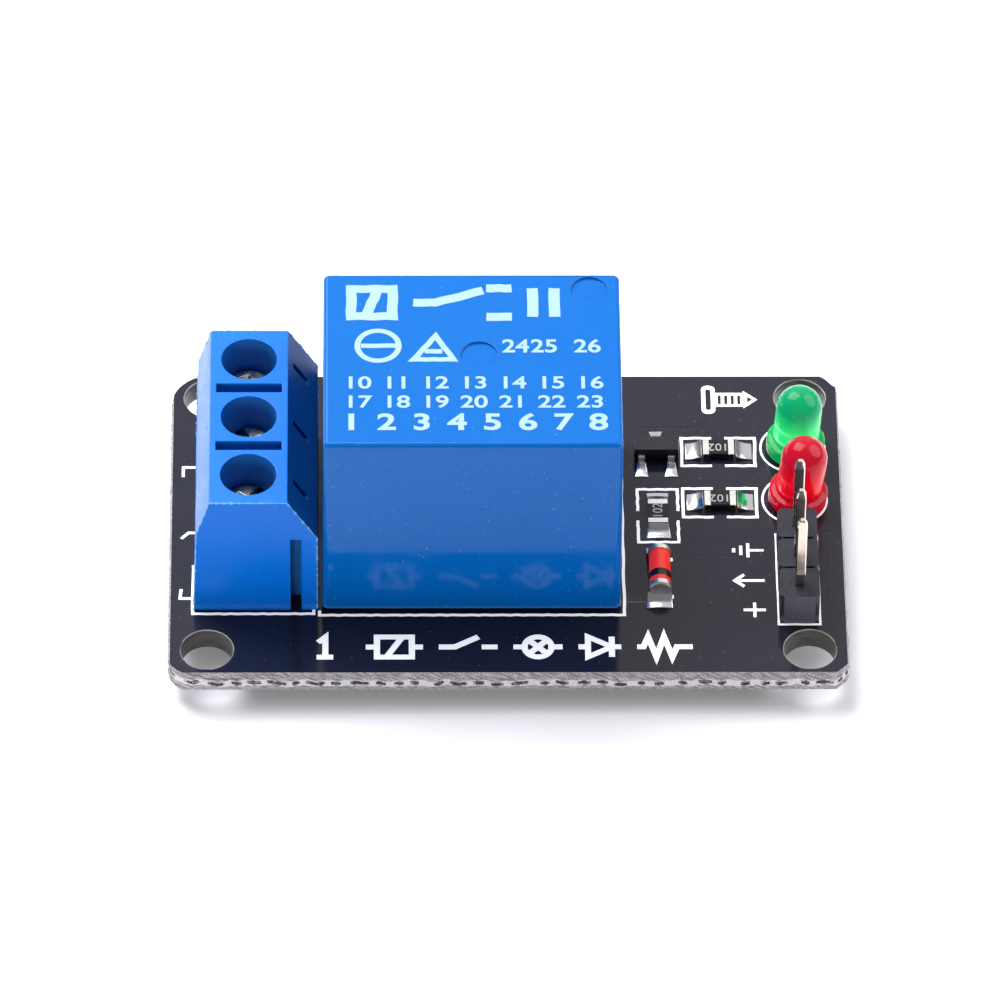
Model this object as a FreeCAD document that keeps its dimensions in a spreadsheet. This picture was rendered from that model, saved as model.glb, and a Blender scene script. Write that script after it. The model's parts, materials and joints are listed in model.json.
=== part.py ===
import FreeCAD, Part

import os
import re

import Sketcher

# A relay module board: a small circuit board that carries a sealed relay, a three way screw
# terminal, a three pin header, two lights and the few small parts that drive the coil.
# Millimetres, +Z up. The origin is under the middle of the board's outline, on the plane of
# the cut lead tips that the module stands on. +X points from the terminal to the header.

SIZES = {
    # Board
    "board_thickness": 1.6,
    "lead_length": 1.3,
    "score_width": 0.16,
    "score_depth": 0.5,
    "corner_front_left": 1.7,
    "corner_back_left": 2.7,
    "corner_chamfer": 1.0,
    "corner_nibble": 1.2,
    "corner_nibble_out": 0.45,
    "corner_nibble_inset": 0.06,
    "corner_nibble_round": 1.5,
    "hole_inset_long": 2.5,
    "hole_inset_short": 2.1,
    "hole_diameter": 3.3,
    # Layout across the board, from the front edge to the back one
    "header_front_gap": 4.27,
    "led_header_gap": 2.86,
    "led_spacing": 4.45,
    "led_back_gap": 6.8,
    # Layout along the board, from the terminal's edge to the header's
    "terminal_edge_gap": 1.62,
    "relay_gap": 0.26,
    "side_column_gap": 2.51,
    "middle_column_step": 4.0,
    "header_column_step": 4.74,
    "header_edge_gap": 3.12,
    # Soldered joints under the board
    "solder_height": 0.85,
    "solder_pad": 0.55,
    "solder_neck": 0.12,
    "wide_hole_room": 0.5,
    "narrow_hole_room": 0.38,
    # Screw terminal
    "terminal_y": -0.04,
    "terminal_pitch": 5.0,
    "terminal_end_wall": 0.5,
    "terminal_rib": 1.0,
    "terminal_chamber_length": 4.0,
    "terminal_height": 9.9,
    "terminal_back_foot": 4.33,
    "terminal_back_slope": 3.2,
    "terminal_back_top": 2.46,
    "terminal_face_foot": 3.52,
    "terminal_face_lean": 0.24,
    "terminal_face_slope": 2.75,
    "terminal_face_top": 2.44,
    "well_clearance": 0.15,
    "well_overlap": 0.5,
    "pole_slot_width": 0.73,
    "pole_slot_end": 0.38,
    "pole_slot_depth": 2.6,
    "lock_groove_width": 0.68,
    "lock_groove_depth": 0.5,
    "lock_groove_top": 3.4,
    "lock_groove_inset": 1.36,
    "lock_clearance": 0.05,
    "slit_width": 0.38,
    "slit_top": 0.6,
    "slit_height": 1.6,
    "slit_depth": 0.6,
    "entry_frame": 0.3,
    "entry_sill": 0.1,
    "entry_head": 0.25,
    "entry_funnel": 0.3,
    "entry_funnel_depth": 0.45,
    # Clamp cage, screw and wire guard of one pole
    "cage_clearance": 0.05,
    "cage_end_room": 0.35,
    "cage_head_room": 1.15,
    "cage_low": 1.0,
    "cage_floor": 0.6,
    "cage_side": 0.55,
    "cage_top": 1.0,
    "cage_high": 5.75,
    "cage_bend": 0.3,
    "clamp_pin_width": 1.0,
    "clamp_pin_thickness": 0.8,
    "screw_head": 3.2,
    "screw_head_height": 1.25,
    "screw_head_edge": 0.2,
    "screw_shank": 2.4,
    "screw_shoulder_room": 0.4,
    "screw_tip": 1.5,
    "screw_tip_length": 0.4,
    "screw_fit": 0.1,
    "screw_slot_width": 0.6,
    "screw_slot_depth": 0.65,
    "screw_cross_length": 1.9,
    "guard_thickness": 0.35,
    "guard_end_room": 0.15,
    "guard_side_clearance": 0.15,
    "guard_dimple": 0.1,
    "guard_dimple_fit": 0.1,
    "guard_rise": 0.4,
    # Relay case
    "relay_y": -0.08,
    "relay_end_room": 1.4,
    "relay_side_room": 0.33,
    "relay_head_room": 0.77,
    "relay_lift": 0.3,
    "relay_draft": 0.45,
    "relay_wall": 0.8,
    "relay_corner": 0.4,
    "relay_edge": 0.3,
    "dimple_diameter": 2.3,
    "dimple_depth": 0.15,
    "dimple_gate_u": 9.89,
    "dimple_gate_v": 0.34,
    "dimple_vent_u": 16.87,
    "dimple_vent_v": 5.98,
    "vent_nib": 0.9,
    "vent_nib_height": 0.1,
    "relay_base_low": 0.9,
    "relay_base_thickness": 1.5,
    "relay_fit": 0.05,
    "pin_clearance": 0.06,
    # Relay pins
    "common_pin_inset": 0.7,
    "coil_pin_inset": 1.2,
    "relay_pin_v": 6.0,
    "coil_pin_diameter": 0.6,
    "coil_post_height": 1.1,
    "blade_thickness": 0.4,
    "blade_width": 0.9,
    # Relay magnet and contacts
    "yoke_room": 0.8,
    "yoke_thickness": 1.1,
    "yoke_width": 7.0,
    "yoke_foot_margin": 1.2,
    "yoke_height": 8.1,
    "yoke_bend": 0.5,
    "core_diameter": 3.4,
    "core_head_diameter": 5.4,
    "core_head_height": 0.3,
    "bobbin_room": 0.4,
    "bobbin_length": 9.0,
    "bobbin_foot_margin": 0.3,
    "bobbin_head_width": 9.2,
    "bobbin_flange": 0.8,
    "bobbin_tube": 0.6,
    "winding_margin": 0.15,
    "armature_gap": 0.05,
    "armature_margin": 1.9,
    "armature_width": 6.8,
    "armature_thickness": 0.9,
    "armature_angle": 3.0,
    "rivet_diameter": 1.2,
    "rivet_margin": 0.2,
    "rivet_height": 0.3,
    "leaf_thickness": 0.2,
    "leaf_width": 4.8,
    "leaf_tip_margin": 0.25,
    "leaf_leg": 4.0,
    "leaf_end_margin": 0.05,
    "contact_room": 1.65,
    "contact_diameter": 2.3,
    "contact_head": 0.35,
    "contact_stem": 1.1,
    "contact_gap": 0.1,
    "blade_room": 0.15,
    "shelf_margin": 0.25,
    "crossbar_height": 1.2,
    # Lights
    "led_offset": 0.17,
    "led_red_lean": 5.5,
    "led_green_lean": 2.5,
    "led_lift": 0.35,
    "led_diameter": 2.95,
    "led_flange": 3.75,
    "led_flange_height": 1.0,
    "led_flange_flat": 1.6,
    "led_height": 5.2,
    "led_crown": 0.04,
    "led_lead_pitch": 2.54,
    "led_lead": 0.48,
    "led_post_height": 2.6,
    "led_cup_height": 3.2,
    "led_post_reach": 0.8,
    "led_cup_reach": 1.15,
    "led_cup_depth": 1.3,
    # Pin header
    "header_pitch": 2.54,
    "header_width": 2.5,
    "header_height": 2.5,
    "header_notch": 0.25,
    "header_pin": 0.64,
    "header_pin_top": 8.3,
    "header_pin_taper": 0.5,
    "header_pin_tip": 0.3,
    # Chip resistors
    "solder_layer": 0.05,
    "chip_length": 2.0,
    "chip_width": 1.25,
    "chip_height": 0.45,
    "chip_cap": 0.38,
    "chip_cap_thickness": 0.05,
    "chip_coat": 0.04,
    "chip_solder_reach": 0.55,
    "chip_solder_height": 0.36,
    "resistor_front_y": 1.68,
    "resistor_back_y": 6.13,
    "resistor_side_y": 0.56,
    # Glass diode
    "diode_y": -4.9,
    "diode_length": 3.5,
    "diode_glass": 1.38,
    "diode_glass_wall": 0.3,
    "diode_cap_step": 0.06,
    "diode_cap_length": 0.42,
    "diode_slug_clearance": 0.01,
    "diode_die_thickness": 0.2,
    "diode_solder_reach": 0.6,
    "diode_solder_height": 0.9,
    # Transistor
    "transistor_y": 5.95,
    "transistor_length": 2.9,
    "transistor_width": 1.3,
    "transistor_low": 0.1,
    "transistor_high": 1.08,
    "transistor_draft": 7.0,
    "transistor_pitch": 1.9,
    "transistor_lead_width": 0.42,
    "transistor_lead_thickness": 0.13,
    "transistor_knee": 0.22,
    "transistor_reach": 0.6,
    "transistor_solder_reach": 0.4,
}

doc = FreeCAD.newDocument("relay_module")
sheet = doc.addObject("Spreadsheet::Sheet", "sizes")
for row, (size_name, size) in enumerate(SIZES.items(), start=1):
    sheet.set(f"A{row}", size_name)
    sheet.set(f"B{row}", str(size))
    sheet.setAlias(f"B{row}", size_name)
doc.recompute()

SIZE_NAME = re.compile(r"[a-z][a-z0-9_]*")
PARTS = []

# Levels, from the lead tips up, and from the top of the board down to the tips
BOARD_TOP = "(board_thickness + lead_length)"
TIP = f"-{BOARD_TOP}"

# Inside the relay, along u from the outside of the case at the yoke's end
YOKE_U = "(relay_wall + yoke_room)"
COIL_U = f"({YOKE_U} + yoke_thickness + bobbin_room + bobbin_length/2)"
ARMATURE_LENGTH = f"({COIL_U} - {YOKE_U} + core_head_diameter/2 + armature_margin)"
CONTACT_REACH = f"({ARMATURE_LENGTH} + contact_room + contact_diameter/2)"
CONTACT_U = f"({YOKE_U} + {CONTACT_REACH})"
BLADE_U = f"({CONTACT_U} + contact_diameter/2 + blade_room + blade_thickness/2)"
COMMON_PIN_U = f"({YOKE_U} + common_pin_inset)"
COIL_PIN_U = f"({COIL_U} - bobbin_length/2 + coil_pin_inset)"
RELAY_LENGTH = f"({BLADE_U} + blade_thickness/2 + relay_end_room + relay_wall)"
RELAY_WIDTH = "(2*(relay_pin_v + blade_width/2 + relay_side_room + relay_wall))"

# Inside the relay, upwards from the top of the board
YOKE_LOW = "(relay_base_low + relay_base_thickness + relay_fit)"
YOKE_FOOT_TOP = f"({YOKE_LOW} + yoke_thickness)"
HINGE_Z = f"({YOKE_LOW} + yoke_height)"
BOBBIN_LOW = f"({YOKE_FOOT_TOP} + relay_fit)"
BOBBIN_HIGH = f"({HINGE_Z} - core_head_height - relay_fit)"
ARMATURE_TOP = "(armature_gap + armature_thickness)"
LEAF_TOP = f"({ARMATURE_TOP} + leaf_thickness)"
CONTACT_RISE = f"({CONTACT_REACH}*sin(armature_angle))"
CLOSED_SHELF = (f"({HINGE_Z} + {CONTACT_RISE} + ({LEAF_TOP} + contact_head)*cos(armature_angle)"
                " + contact_gap + contact_head)")
OPEN_SHELF = f"({HINGE_Z} + {ARMATURE_TOP} - 2*contact_head - contact_gap - blade_thickness)"
RELAY_TOP = f"({CLOSED_SHELF} + blade_thickness + relay_head_room + relay_wall)"

# Inside the terminal
CHAMBER_WIDTH = "(terminal_pitch - terminal_rib)"
CHAMBER_HEIGHT = "(cage_high + cage_head_room)"
CAGE_LENGTH = "(terminal_chamber_length - 2*cage_end_room)"
CAGE_WIDTH = f"({CHAMBER_WIDTH} - 2*cage_clearance)"
GUARD_LOW = "(cage_low + cage_floor + guard_rise)"
SCREW_LOW = f"({GUARD_LOW} + guard_thickness - guard_dimple)"

# Along the board
BOARD_LENGTH = ("(terminal_edge_gap + terminal_face_foot + terminal_back_foot + relay_gap"
                f" + {RELAY_LENGTH} + side_column_gap + middle_column_step + header_column_step"
                " + header_edge_gap)")
TERMINAL_X = f"(terminal_edge_gap + terminal_face_foot - {BOARD_LENGTH}/2)"
RELAY_X = f"({TERMINAL_X} + terminal_back_foot + relay_gap)"
SIDE_COLUMN_X = f"({RELAY_X} + {RELAY_LENGTH} + side_column_gap)"
MIDDLE_COLUMN_X = f"({SIDE_COLUMN_X} + middle_column_step)"
HEADER_X = f"({MIDDLE_COLUMN_X} + header_column_step)"
LED_X = f"({HEADER_X} + led_offset)"
HOLE_SPACING_LONG = f"({BOARD_LENGTH} - 2*hole_inset_long)"

# Across the board
BOARD_WIDTH = "(header_front_gap + 3*header_pitch + led_header_gap + led_spacing + led_back_gap)"
HEADER_Y = f"(header_front_gap + 1.5*header_pitch - {BOARD_WIDTH}/2)"
LED_RED_Y = f"({HEADER_Y} + 1.5*header_pitch + led_header_gap)"
LED_GREEN_Y = f"({LED_RED_Y} + led_spacing)"
HOLE_SPACING_SHORT = f"({BOARD_WIDTH} - 2*hole_inset_short)"


def formula(text):
    """A formula over the named sizes, pointed at their cells."""
    return SIZE_NAME.sub(lambda m: "sizes." + m[0] if m[0] in SIZES else m[0], str(text))


def value(text):
    """The number that a formula gives."""
    return float(sheet.evalExpression(formula(text)))


def bind(thing, prop, text):
    """Tie one property of an object to a formula."""
    thing.setExpression(prop, formula(text))


def place(thing, at, turn=None):
    """Place an object at three formulas, turned about an axis by a fourth."""
    if turn:
        axis, angle = turn
        thing.Placement = FreeCAD.Placement(FreeCAD.Vector(), FreeCAD.Rotation(axis, 1))
        bind(thing, "Placement.Rotation.Angle", angle)
    for letter, text in zip("xyz", at):
        bind(thing, f"Placement.Base.{letter}", text)


def box_loop(x_low, x_high, y_low, y_high):
    """The four corners of a rectangle."""
    return [(x_low, y_low), (x_high, y_low), (x_high, y_high), (x_low, y_high)]


def middle_loop(width, height, x="0", y="0"):
    """A rectangle about a middle point."""
    return box_loop(f"{x} - ({width})/2", f"{x} + ({width})/2",
                    f"{y} - ({height})/2", f"{y} + ({height})/2")


def draw_loop(sketch, loop):
    """Draw one closed outline: a circle (x, y, diameter) or a list of corners."""
    if isinstance(loop, tuple):
        x, y, diameter = loop
        centre = FreeCAD.Vector(value(x), value(y), 0)
        ring = Part.Circle(centre, FreeCAD.Vector(0, 0, 1), value(diameter) / 2)
        circle = sketch.addGeometry(ring, False)
        pins = [("DistanceX", (-1, 1, circle, 3), x), ("DistanceY", (-1, 1, circle, 3), y)]
        pins.append(("Diameter", (circle,), diameter))
    else:
        corners = [FreeCAD.Vector(value(x), value(y), 0) for x, y in loop]
        count = len(corners)
        lines = [sketch.addGeometry(Part.LineSegment(corners[i], corners[(i + 1) % count]), False)
                 for i in range(count)]
        pins = []
        for i, (x, y) in enumerate(loop):
            sketch.addConstraint(Sketcher.Constraint("Coincident", lines[i - 1], 2, lines[i], 1))
            pins.append(("DistanceX", (-1, 1, lines[i], 1), x))
            pins.append(("DistanceY", (-1, 1, lines[i], 1), y))
    for kind, target, text in pins:
        index = sketch.addConstraint(Sketcher.Constraint(kind, *target, value(text)))
        bind(sketch, f"Constraints[{index}]", text)


class Piece:
    """One piece of the module: a body, and the features that shape it."""

    def __init__(self, label, at=("0", "0", "0"), turn=None, part=True):
        self.body = doc.addObject("PartDesign::Body", label)
        self.body.Label = label
        self.body.AllowCompound = True
        place(self.body, at, turn)
        if part:
            PARTS.append(self.body)

    def sketch(self, plane, loops, level="0"):
        """A sketch on the XY, XZ or YZ plane, moved along +Z, +Y or +X to its level."""
        sketch = self.body.newObject("Sketcher::SketchObject", self.body.Name + "_outline")
        base = next(f for f in self.body.Origin.OriginFeatures if f.Role == plane + "_Plane")
        sketch.AttachmentSupport = (base, [""])
        sketch.MapMode = "FlatFace"
        bind(sketch, "AttachmentOffset.Base.z", f"-({level})" if plane == "XZ" else level)
        for loop in loops:
            draw_loop(sketch, loop)
        return sketch

    def pad(self, plane, loops, low, high, draft=None):
        """Material between two levels, with sides that close in by the draft angle."""
        pad = self.body.newObject("PartDesign::Pad", self.body.Name + "_pad")
        pad.Profile = self.sketch(plane, loops, low)
        pad.Reversed = plane == "XZ"
        bind(pad, "Length", f"({high}) - ({low})")
        if draft:
            bind(pad, "TaperAngle", f"-({draft})")
        return self

    def pocket(self, plane, loops, low, high):
        """A hollow between two levels."""
        doc.recompute()
        before = self.body.Shape.Volume
        pocket = self.body.newObject("PartDesign::Pocket", self.body.Name + "_pocket")
        pocket.Profile = self.sketch(plane, loops, low)
        pocket.Reversed = plane != "XZ"
        bind(pocket, "Length", f"({high}) - ({low})")
        doc.recompute()
        if self.body.Shape.Volume >= before:
            raise RuntimeError(self.body.Label + ": a pocket cuts nothing")
        return self

    def turn(self, corners):
        """A solid turned about Z from corners (radius, height)."""
        turned = self.body.newObject("PartDesign::Revolution", self.body.Name + "_turned")
        sketch = self.sketch("XZ", [corners])
        turned.Profile = sketch
        turned.ReferenceAxis = (sketch, ["V_Axis"])
        turned.Angle = 360
        return self

    def loft(self, first, first_level, last, last_level):
        """Material that passes from one outline to another."""
        loft = self.body.newObject("PartDesign::AdditiveLoft", self.body.Name + "_taper")
        loft.Profile = self.sketch("XY", [first], first_level)
        loft.Sections = [self.sketch("XY", [last], last_level)]
        return self

    def edges(self, wanted):
        """The names of the edges that a test wants."""
        doc.recompute()
        return [f"Edge{i}" for i, edge in enumerate(self.body.Tip.Shape.Edges, start=1) if wanted(edge)]

    def dress(self, kind, wanted, prop, size):
        """Round or bevel the wanted edges."""
        names = self.edges(wanted)
        if not names:
            raise RuntimeError(self.body.Label + ": no edge to dress")
        base = self.body.Tip
        dressed = self.body.newObject("PartDesign::" + kind, self.body.Name + "_" + kind.lower())
        dressed.Base = (base, names)
        bind(dressed, prop, size)
        return self

    def round(self, wanted, radius):
        return self.dress("Fillet", wanted, "Radius", radius)

    def bevel(self, wanted, size):
        return self.dress("Chamfer", wanted, "Size", size)


def along(edge, axis):
    """Whether an edge is straight and runs along x, y or z."""
    box = edge.BoundBox
    spans = {"x": box.XLength, "y": box.YLength, "z": box.ZLength}
    return all((span > 0.01) == (name == axis) for name, span in spans.items())


def upright_at(*points):
    """A test for the upright edges at the given (x, y) formulas."""
    places = [(value(x), value(y)) for x, y in points]

    def wanted(edge):
        middle = edge.BoundBox.Center
        return along(edge, "z") and any(abs(middle.x - x) + abs(middle.y - y) < 0.02 for x, y in places)
    return wanted


def at_height(level):
    """A test for the edges that lie flat at a level."""
    height = value(level)
    return lambda edge: abs(edge.BoundBox.ZMin - height) + abs(edge.BoundBox.ZMax - height) < 0.01


def keep(thing, label):
    """Name a finished object and add it to the parts."""
    thing.Label = label
    PARTS.append(thing)
    return thing


# Frames of the groups, each on the top of the board
RELAY_AT = (RELAY_X, "relay_y", BOARD_TOP)
TERMINAL_AT = (TERMINAL_X, "terminal_y", BOARD_TOP)
HEADER_AT = (HEADER_X, HEADER_Y, BOARD_TOP)
POLES = {1: "-terminal_pitch", 2: "0", 3: "terminal_pitch"}
HEADER_ROWS = {1: "-header_pitch", 2: "0", 3: "header_pitch"}
LEDS = {"red": (LED_X, LED_RED_Y, "led_red_lean"), "green": (LED_X, LED_GREEN_Y, "led_green_lean")}
RELAY_PINS = {
    "common": (COMMON_PIN_U, "0"),
    "coil_front": (COIL_PIN_U, "-relay_pin_v"),
    "coil_back": (COIL_PIN_U, "relay_pin_v"),
    "open_blade": (BLADE_U, "-relay_pin_v"),
    "closed_blade": (BLADE_U, "relay_pin_v"),
}


def pin_section(pin, extra="0"):
    """The section of a relay pin, grown on every side by some room."""
    u, v = RELAY_PINS[pin]
    if pin.startswith("coil"):
        return (u, v, f"coil_pin_diameter + 2*({extra})")
    return middle_loop(f"blade_thickness + 2*({extra})", f"blade_width + 2*({extra})", u, v)


def lead_holes():
    """Every drilled and plated hole, as (group, x, y, diameter, lead)."""
    holes = []
    for y in POLES.values():
        lead = ("clamp_pin_thickness", "clamp_pin_width")
        hole = "(clamp_pin_width + wide_hole_room)"
        holes.append(("terminal", TERMINAL_X, f"terminal_y + {y}", hole, lead))
    for pin, (u, v) in RELAY_PINS.items():
        lead = ("coil_pin_diameter",) if pin.startswith("coil") else ("blade_thickness", "blade_width")
        hole = "(blade_width + wide_hole_room)"
        holes.append(("relay", f"{RELAY_X} + {u}", f"relay_y + {v}", hole, lead))
    for x, y, _ in LEDS.values():
        for side in "-+":
            lead = ("led_lead", "led_lead")
            hole = "(led_lead + narrow_hole_room)"
            holes.append(("leds", x, f"{y} {side} led_lead_pitch/2", hole, lead))
    for y in HEADER_ROWS.values():
        lead = ("header_pin", "header_pin")
        hole = "(header_pin + narrow_hole_room)"
        holes.append(("header", HEADER_X, f"{HEADER_Y} + {y}", hole, lead))
    return holes


def make_board():
    """Glass epoxy board, scored and snapped along its edges, with its drilled holes."""
    low = "lead_length"
    high = BOARD_TOP
    half_long = f"{BOARD_LENGTH}/2"
    half_short = f"{BOARD_WIDTH}/2"
    board = Piece("circuit_board")
    board.pad("XY", [middle_loop(BOARD_LENGTH, BOARD_WIDTH)], low, high)
    nibble = f"({half_long} + corner_nibble_out)"
    board.pocket("XY", [(nibble, f"{half_short} - corner_nibble_inset", "2*corner_nibble")], low, high)
    board.round(upright_at((f"-{half_long}", f"-{half_short}")), "corner_front_left")
    board.round(upright_at((f"-{half_long}", half_short)), "corner_back_left")
    board.bevel(upright_at((half_long, f"-{half_short}")), "corner_chamfer")
    start = f"{nibble} - sqrt(corner_nibble^2 - corner_nibble_inset^2)"
    board.round(upright_at((start, half_short)), "corner_nibble_round")
    for plane, half, across in (("XZ", half_long, half_short), ("YZ", half_short, half_long)):
        cuts = []
        for side in ("-", ""):
            edge = f"{side}({half})"
            inner = f"{side}({half} - score_width)"
            cuts.append([(edge, low), (inner, low), (edge, f"{low} + score_depth")])
            cuts.append([(edge, high), (inner, high), (edge, f"{high} - score_depth")])
        board.pocket(plane, cuts, f"-({across}) - 1", f"{across} + 1")
    drilled = [(x, y, diameter) for _, x, y, diameter, _ in lead_holes()]
    for x_side in ("-", ""):
        for y_side in ("-", ""):
            corner = (f"{x_side}{HOLE_SPACING_LONG}/2", f"{y_side}{HOLE_SPACING_SHORT}/2")
            drilled.append((*corner, "hole_diameter"))
    board.pocket("XY", drilled, f"{low} - 1", f"{high} + 1")


def make_solder():
    """Solder that fills each plated hole and stands round its lead under the board."""
    groups = {}
    for group, x, y, hole, lead in lead_holes():
        name = f"solder_{group}_{len(groups.get(group, []))}"
        cone = doc.addObject("Part::Cone", name + "_cone")
        bind(cone, "Radius1", f"{hole}/2 - solder_neck")
        bind(cone, "Radius2", f"{hole}/2 + solder_pad")
        bind(cone, "Height", "solder_height")
        place(cone, (x, y, "lead_length - solder_height"))
        barrel = doc.addObject("Part::Cylinder", name + "_barrel")
        bind(barrel, "Radius", f"{hole}/2")
        bind(barrel, "Height", "board_thickness")
        place(barrel, (x, y, "lead_length"))
        joint = doc.addObject("Part::Fuse", name + "_filled")
        joint.Base = cone
        joint.Tool = barrel
        if len(lead) == 1:
            wire = doc.addObject("Part::Cylinder", name + "_wire")
            bind(wire, "Radius", f"{lead[0]}/2")
            place(wire, (x, y, "0"))
        else:
            wire = doc.addObject("Part::Box", name + "_wire")
            bind(wire, "Length", lead[0])
            bind(wire, "Width", lead[1])
            place(wire, (f"{x} - {lead[0]}/2", f"{y} - {lead[1]}/2", "0"))
        bind(wire, "Height", f"2*{BOARD_TOP}")
        cut = doc.addObject("Part::Cut", name + "_joint")
        cut.Base = joint
        cut.Tool = wire
        groups.setdefault(group, []).append(cut)
    for group, joints in groups.items():
        compound = doc.addObject("Part::Compound", f"solder_{group}_joints")
        compound.Links = joints
        keep(compound, f"solder_{group}")


def make_terminal_housing():
    """Moulded block: wells for the screws, chambers for the cages, entries for the wires."""
    length = f"(3*{CHAMBER_WIDTH} + 2*terminal_rib + 2*terminal_end_wall)"
    front = f"-{length}/2"
    back = f"{length}/2"
    section = [
        ("-terminal_face_foot", "0"),
        ("terminal_back_foot", "0"),
        ("terminal_back_foot", "terminal_height - terminal_back_slope"),
        ("terminal_back_top", "terminal_height"),
        ("-terminal_face_top", "terminal_height"),
        ("-(terminal_face_foot - terminal_face_lean)", "terminal_height - terminal_face_slope"),
    ]
    housing = Piece("terminal_housing", TERMINAL_AT)
    housing.pad("XZ", [section], front, back)
    tongue = "(lock_groove_width - 2*lock_clearance)"
    lock_x = "(terminal_back_foot - lock_groove_inset)"
    lock_top = "terminal_height - lock_groove_top"
    tongue_box = box_loop(f"{lock_x} - {tongue}/2", f"{lock_x} + {tongue}/2",
                          f"{back} - lock_clearance", f"{back} + lock_groove_depth - lock_clearance")
    housing.pad("XY", [tongue_box], "0", f"{lock_top} - lock_clearance")
    groove = middle_loop("lock_groove_width", "2*lock_groove_depth", lock_x, front)
    housing.pocket("XY", [groove], "-1", lock_top)
    poles = list(POLES.values())
    chambers = [middle_loop("terminal_chamber_length", CHAMBER_WIDTH, "0", y) for y in poles]
    housing.pocket("XY", chambers, "-1", CHAMBER_HEIGHT)
    wells = [("0", y, "screw_head + 2*well_clearance") for y in poles]
    housing.pocket("XY", wells, f"{CHAMBER_HEIGHT} - well_overlap", "terminal_height + 1")
    gaps = [f"{side}terminal_pitch/2" for side in ("-", "")]
    slots = [box_loop("pole_slot_end - terminal_face_top", "terminal_back_top - pole_slot_end",
                      f"{y} - pole_slot_width/2", f"{y} + pole_slot_width/2") for y in gaps]
    housing.pocket("XY", slots, "terminal_height - pole_slot_depth", "terminal_height + 1")
    slit_high = "terminal_height - slit_top"
    slits = [box_loop(f"{y} - slit_width/2", f"{y} + slit_width/2", f"{slit_high} - slit_height", slit_high)
             for y in poles]
    housing.pocket("YZ", slits, "terminal_back_top - slit_depth", "terminal_back_foot + 1")
    half_entry = f"({CHAMBER_WIDTH}/2 - entry_frame)"
    sill = "(cage_low + cage_floor - entry_sill)"
    head = "(cage_high - cage_top + entry_head)"
    entries = [box_loop(f"{y} - {half_entry}", f"{y} + {half_entry}", sill, head) for y in poles]
    chamber_wall = "-terminal_chamber_length/2 + cage_clearance"
    housing.pocket("YZ", entries, "-terminal_face_foot - 1", chamber_wall)
    funnels = [box_loop(f"{y} - {half_entry} - entry_funnel", f"{y} + {half_entry} + entry_funnel",
                        f"{sill} - entry_funnel", f"{head} + entry_funnel") for y in poles]
    housing.pocket("YZ", funnels, "-terminal_face_foot - 1", "-terminal_face_foot + entry_funnel_depth")


def make_clamp(number, y):
    """Cage folded from strip, with its threaded top and its solder pin."""
    outer = CAGE_WIDTH
    inner = f"({outer} - 2*cage_side)"
    at = (TERMINAL_X, f"terminal_y + {y}", BOARD_TOP)
    half = f"{CAGE_LENGTH}/2"
    clamp = Piece(f"terminal_clamp_{number}", at)
    block = box_loop(f"-{outer}/2", f"{outer}/2", "cage_low", "cage_high")
    clamp.pad("YZ", [block], f"-{half}", half)
    window = box_loop(f"-{inner}/2", f"{inner}/2", "cage_low + cage_floor", "cage_high - cage_top")
    clamp.pocket("YZ", [window], f"-{half} - 1", f"{half} + 1")
    side = value(outer) / 2

    def folded(edge):
        return along(edge, "x") and abs(abs(edge.BoundBox.Center.y) - side) < 0.01
    clamp.round(folded, "cage_bend")
    thread = ("0", "0", "screw_shank + 2*screw_fit")
    clamp.pocket("XY", [thread], "cage_high - cage_top - cage_clearance", "cage_high + 1")
    pin = middle_loop("clamp_pin_thickness", "clamp_pin_width")
    clamp.pad("XY", [pin], TIP, "cage_low + cage_floor/2")


def make_guard(number, y):
    """Pressure plate between the screw and the wire."""
    length = f"({CAGE_LENGTH} - 2*guard_end_room)"
    width = f"({CAGE_WIDTH} - 2*cage_side - 2*guard_side_clearance)"
    high = f"{GUARD_LOW} + guard_thickness"
    guard = Piece(f"wire_guard_{number}", (TERMINAL_X, f"terminal_y + {y}", BOARD_TOP))
    guard.pad("XY", [middle_loop(length, width)], GUARD_LOW, high)
    dimple = ("0", "0", "screw_tip + 2*guard_dimple_fit")
    guard.pocket("XY", [dimple], f"{high} - guard_dimple", f"{high} + 1")
    guard.bevel(at_height(GUARD_LOW), "guard_thickness/3")


def make_screw(number, y, turned):
    """Terminal screw with a slotted cross head and a plain dog point."""
    shoulder = "(cage_high + screw_shoulder_room)"
    top = f"({shoulder} + screw_head_height)"
    axis = (FreeCAD.Vector(0, 0, 1), turned)
    screw = Piece(f"terminal_screw_{number}", (TERMINAL_X, f"terminal_y + {y}", BOARD_TOP), axis)
    screw.turn([
        ("0", SCREW_LOW),
        ("screw_tip/2", SCREW_LOW),
        ("screw_tip/2", f"{SCREW_LOW} + screw_tip_length"),
        ("screw_shank/2", f"{SCREW_LOW} + screw_tip_length + (screw_shank - screw_tip)/4"),
        ("screw_shank/2", shoulder),
        ("screw_head/2", shoulder),
        ("screw_head/2", f"{top} - screw_head_edge"),
        ("screw_head/2 - screw_head_edge", top),
        ("0", top),
    ])
    slot = middle_loop("screw_head + 1", "screw_slot_width")
    screw.pocket("XY", [slot], f"{top} - screw_slot_depth", f"{top} + 1")
    cross = middle_loop("screw_slot_width", "screw_cross_length")
    screw.pocket("XY", [cross], f"{top} - screw_slot_depth", f"{top} + 1")


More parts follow.
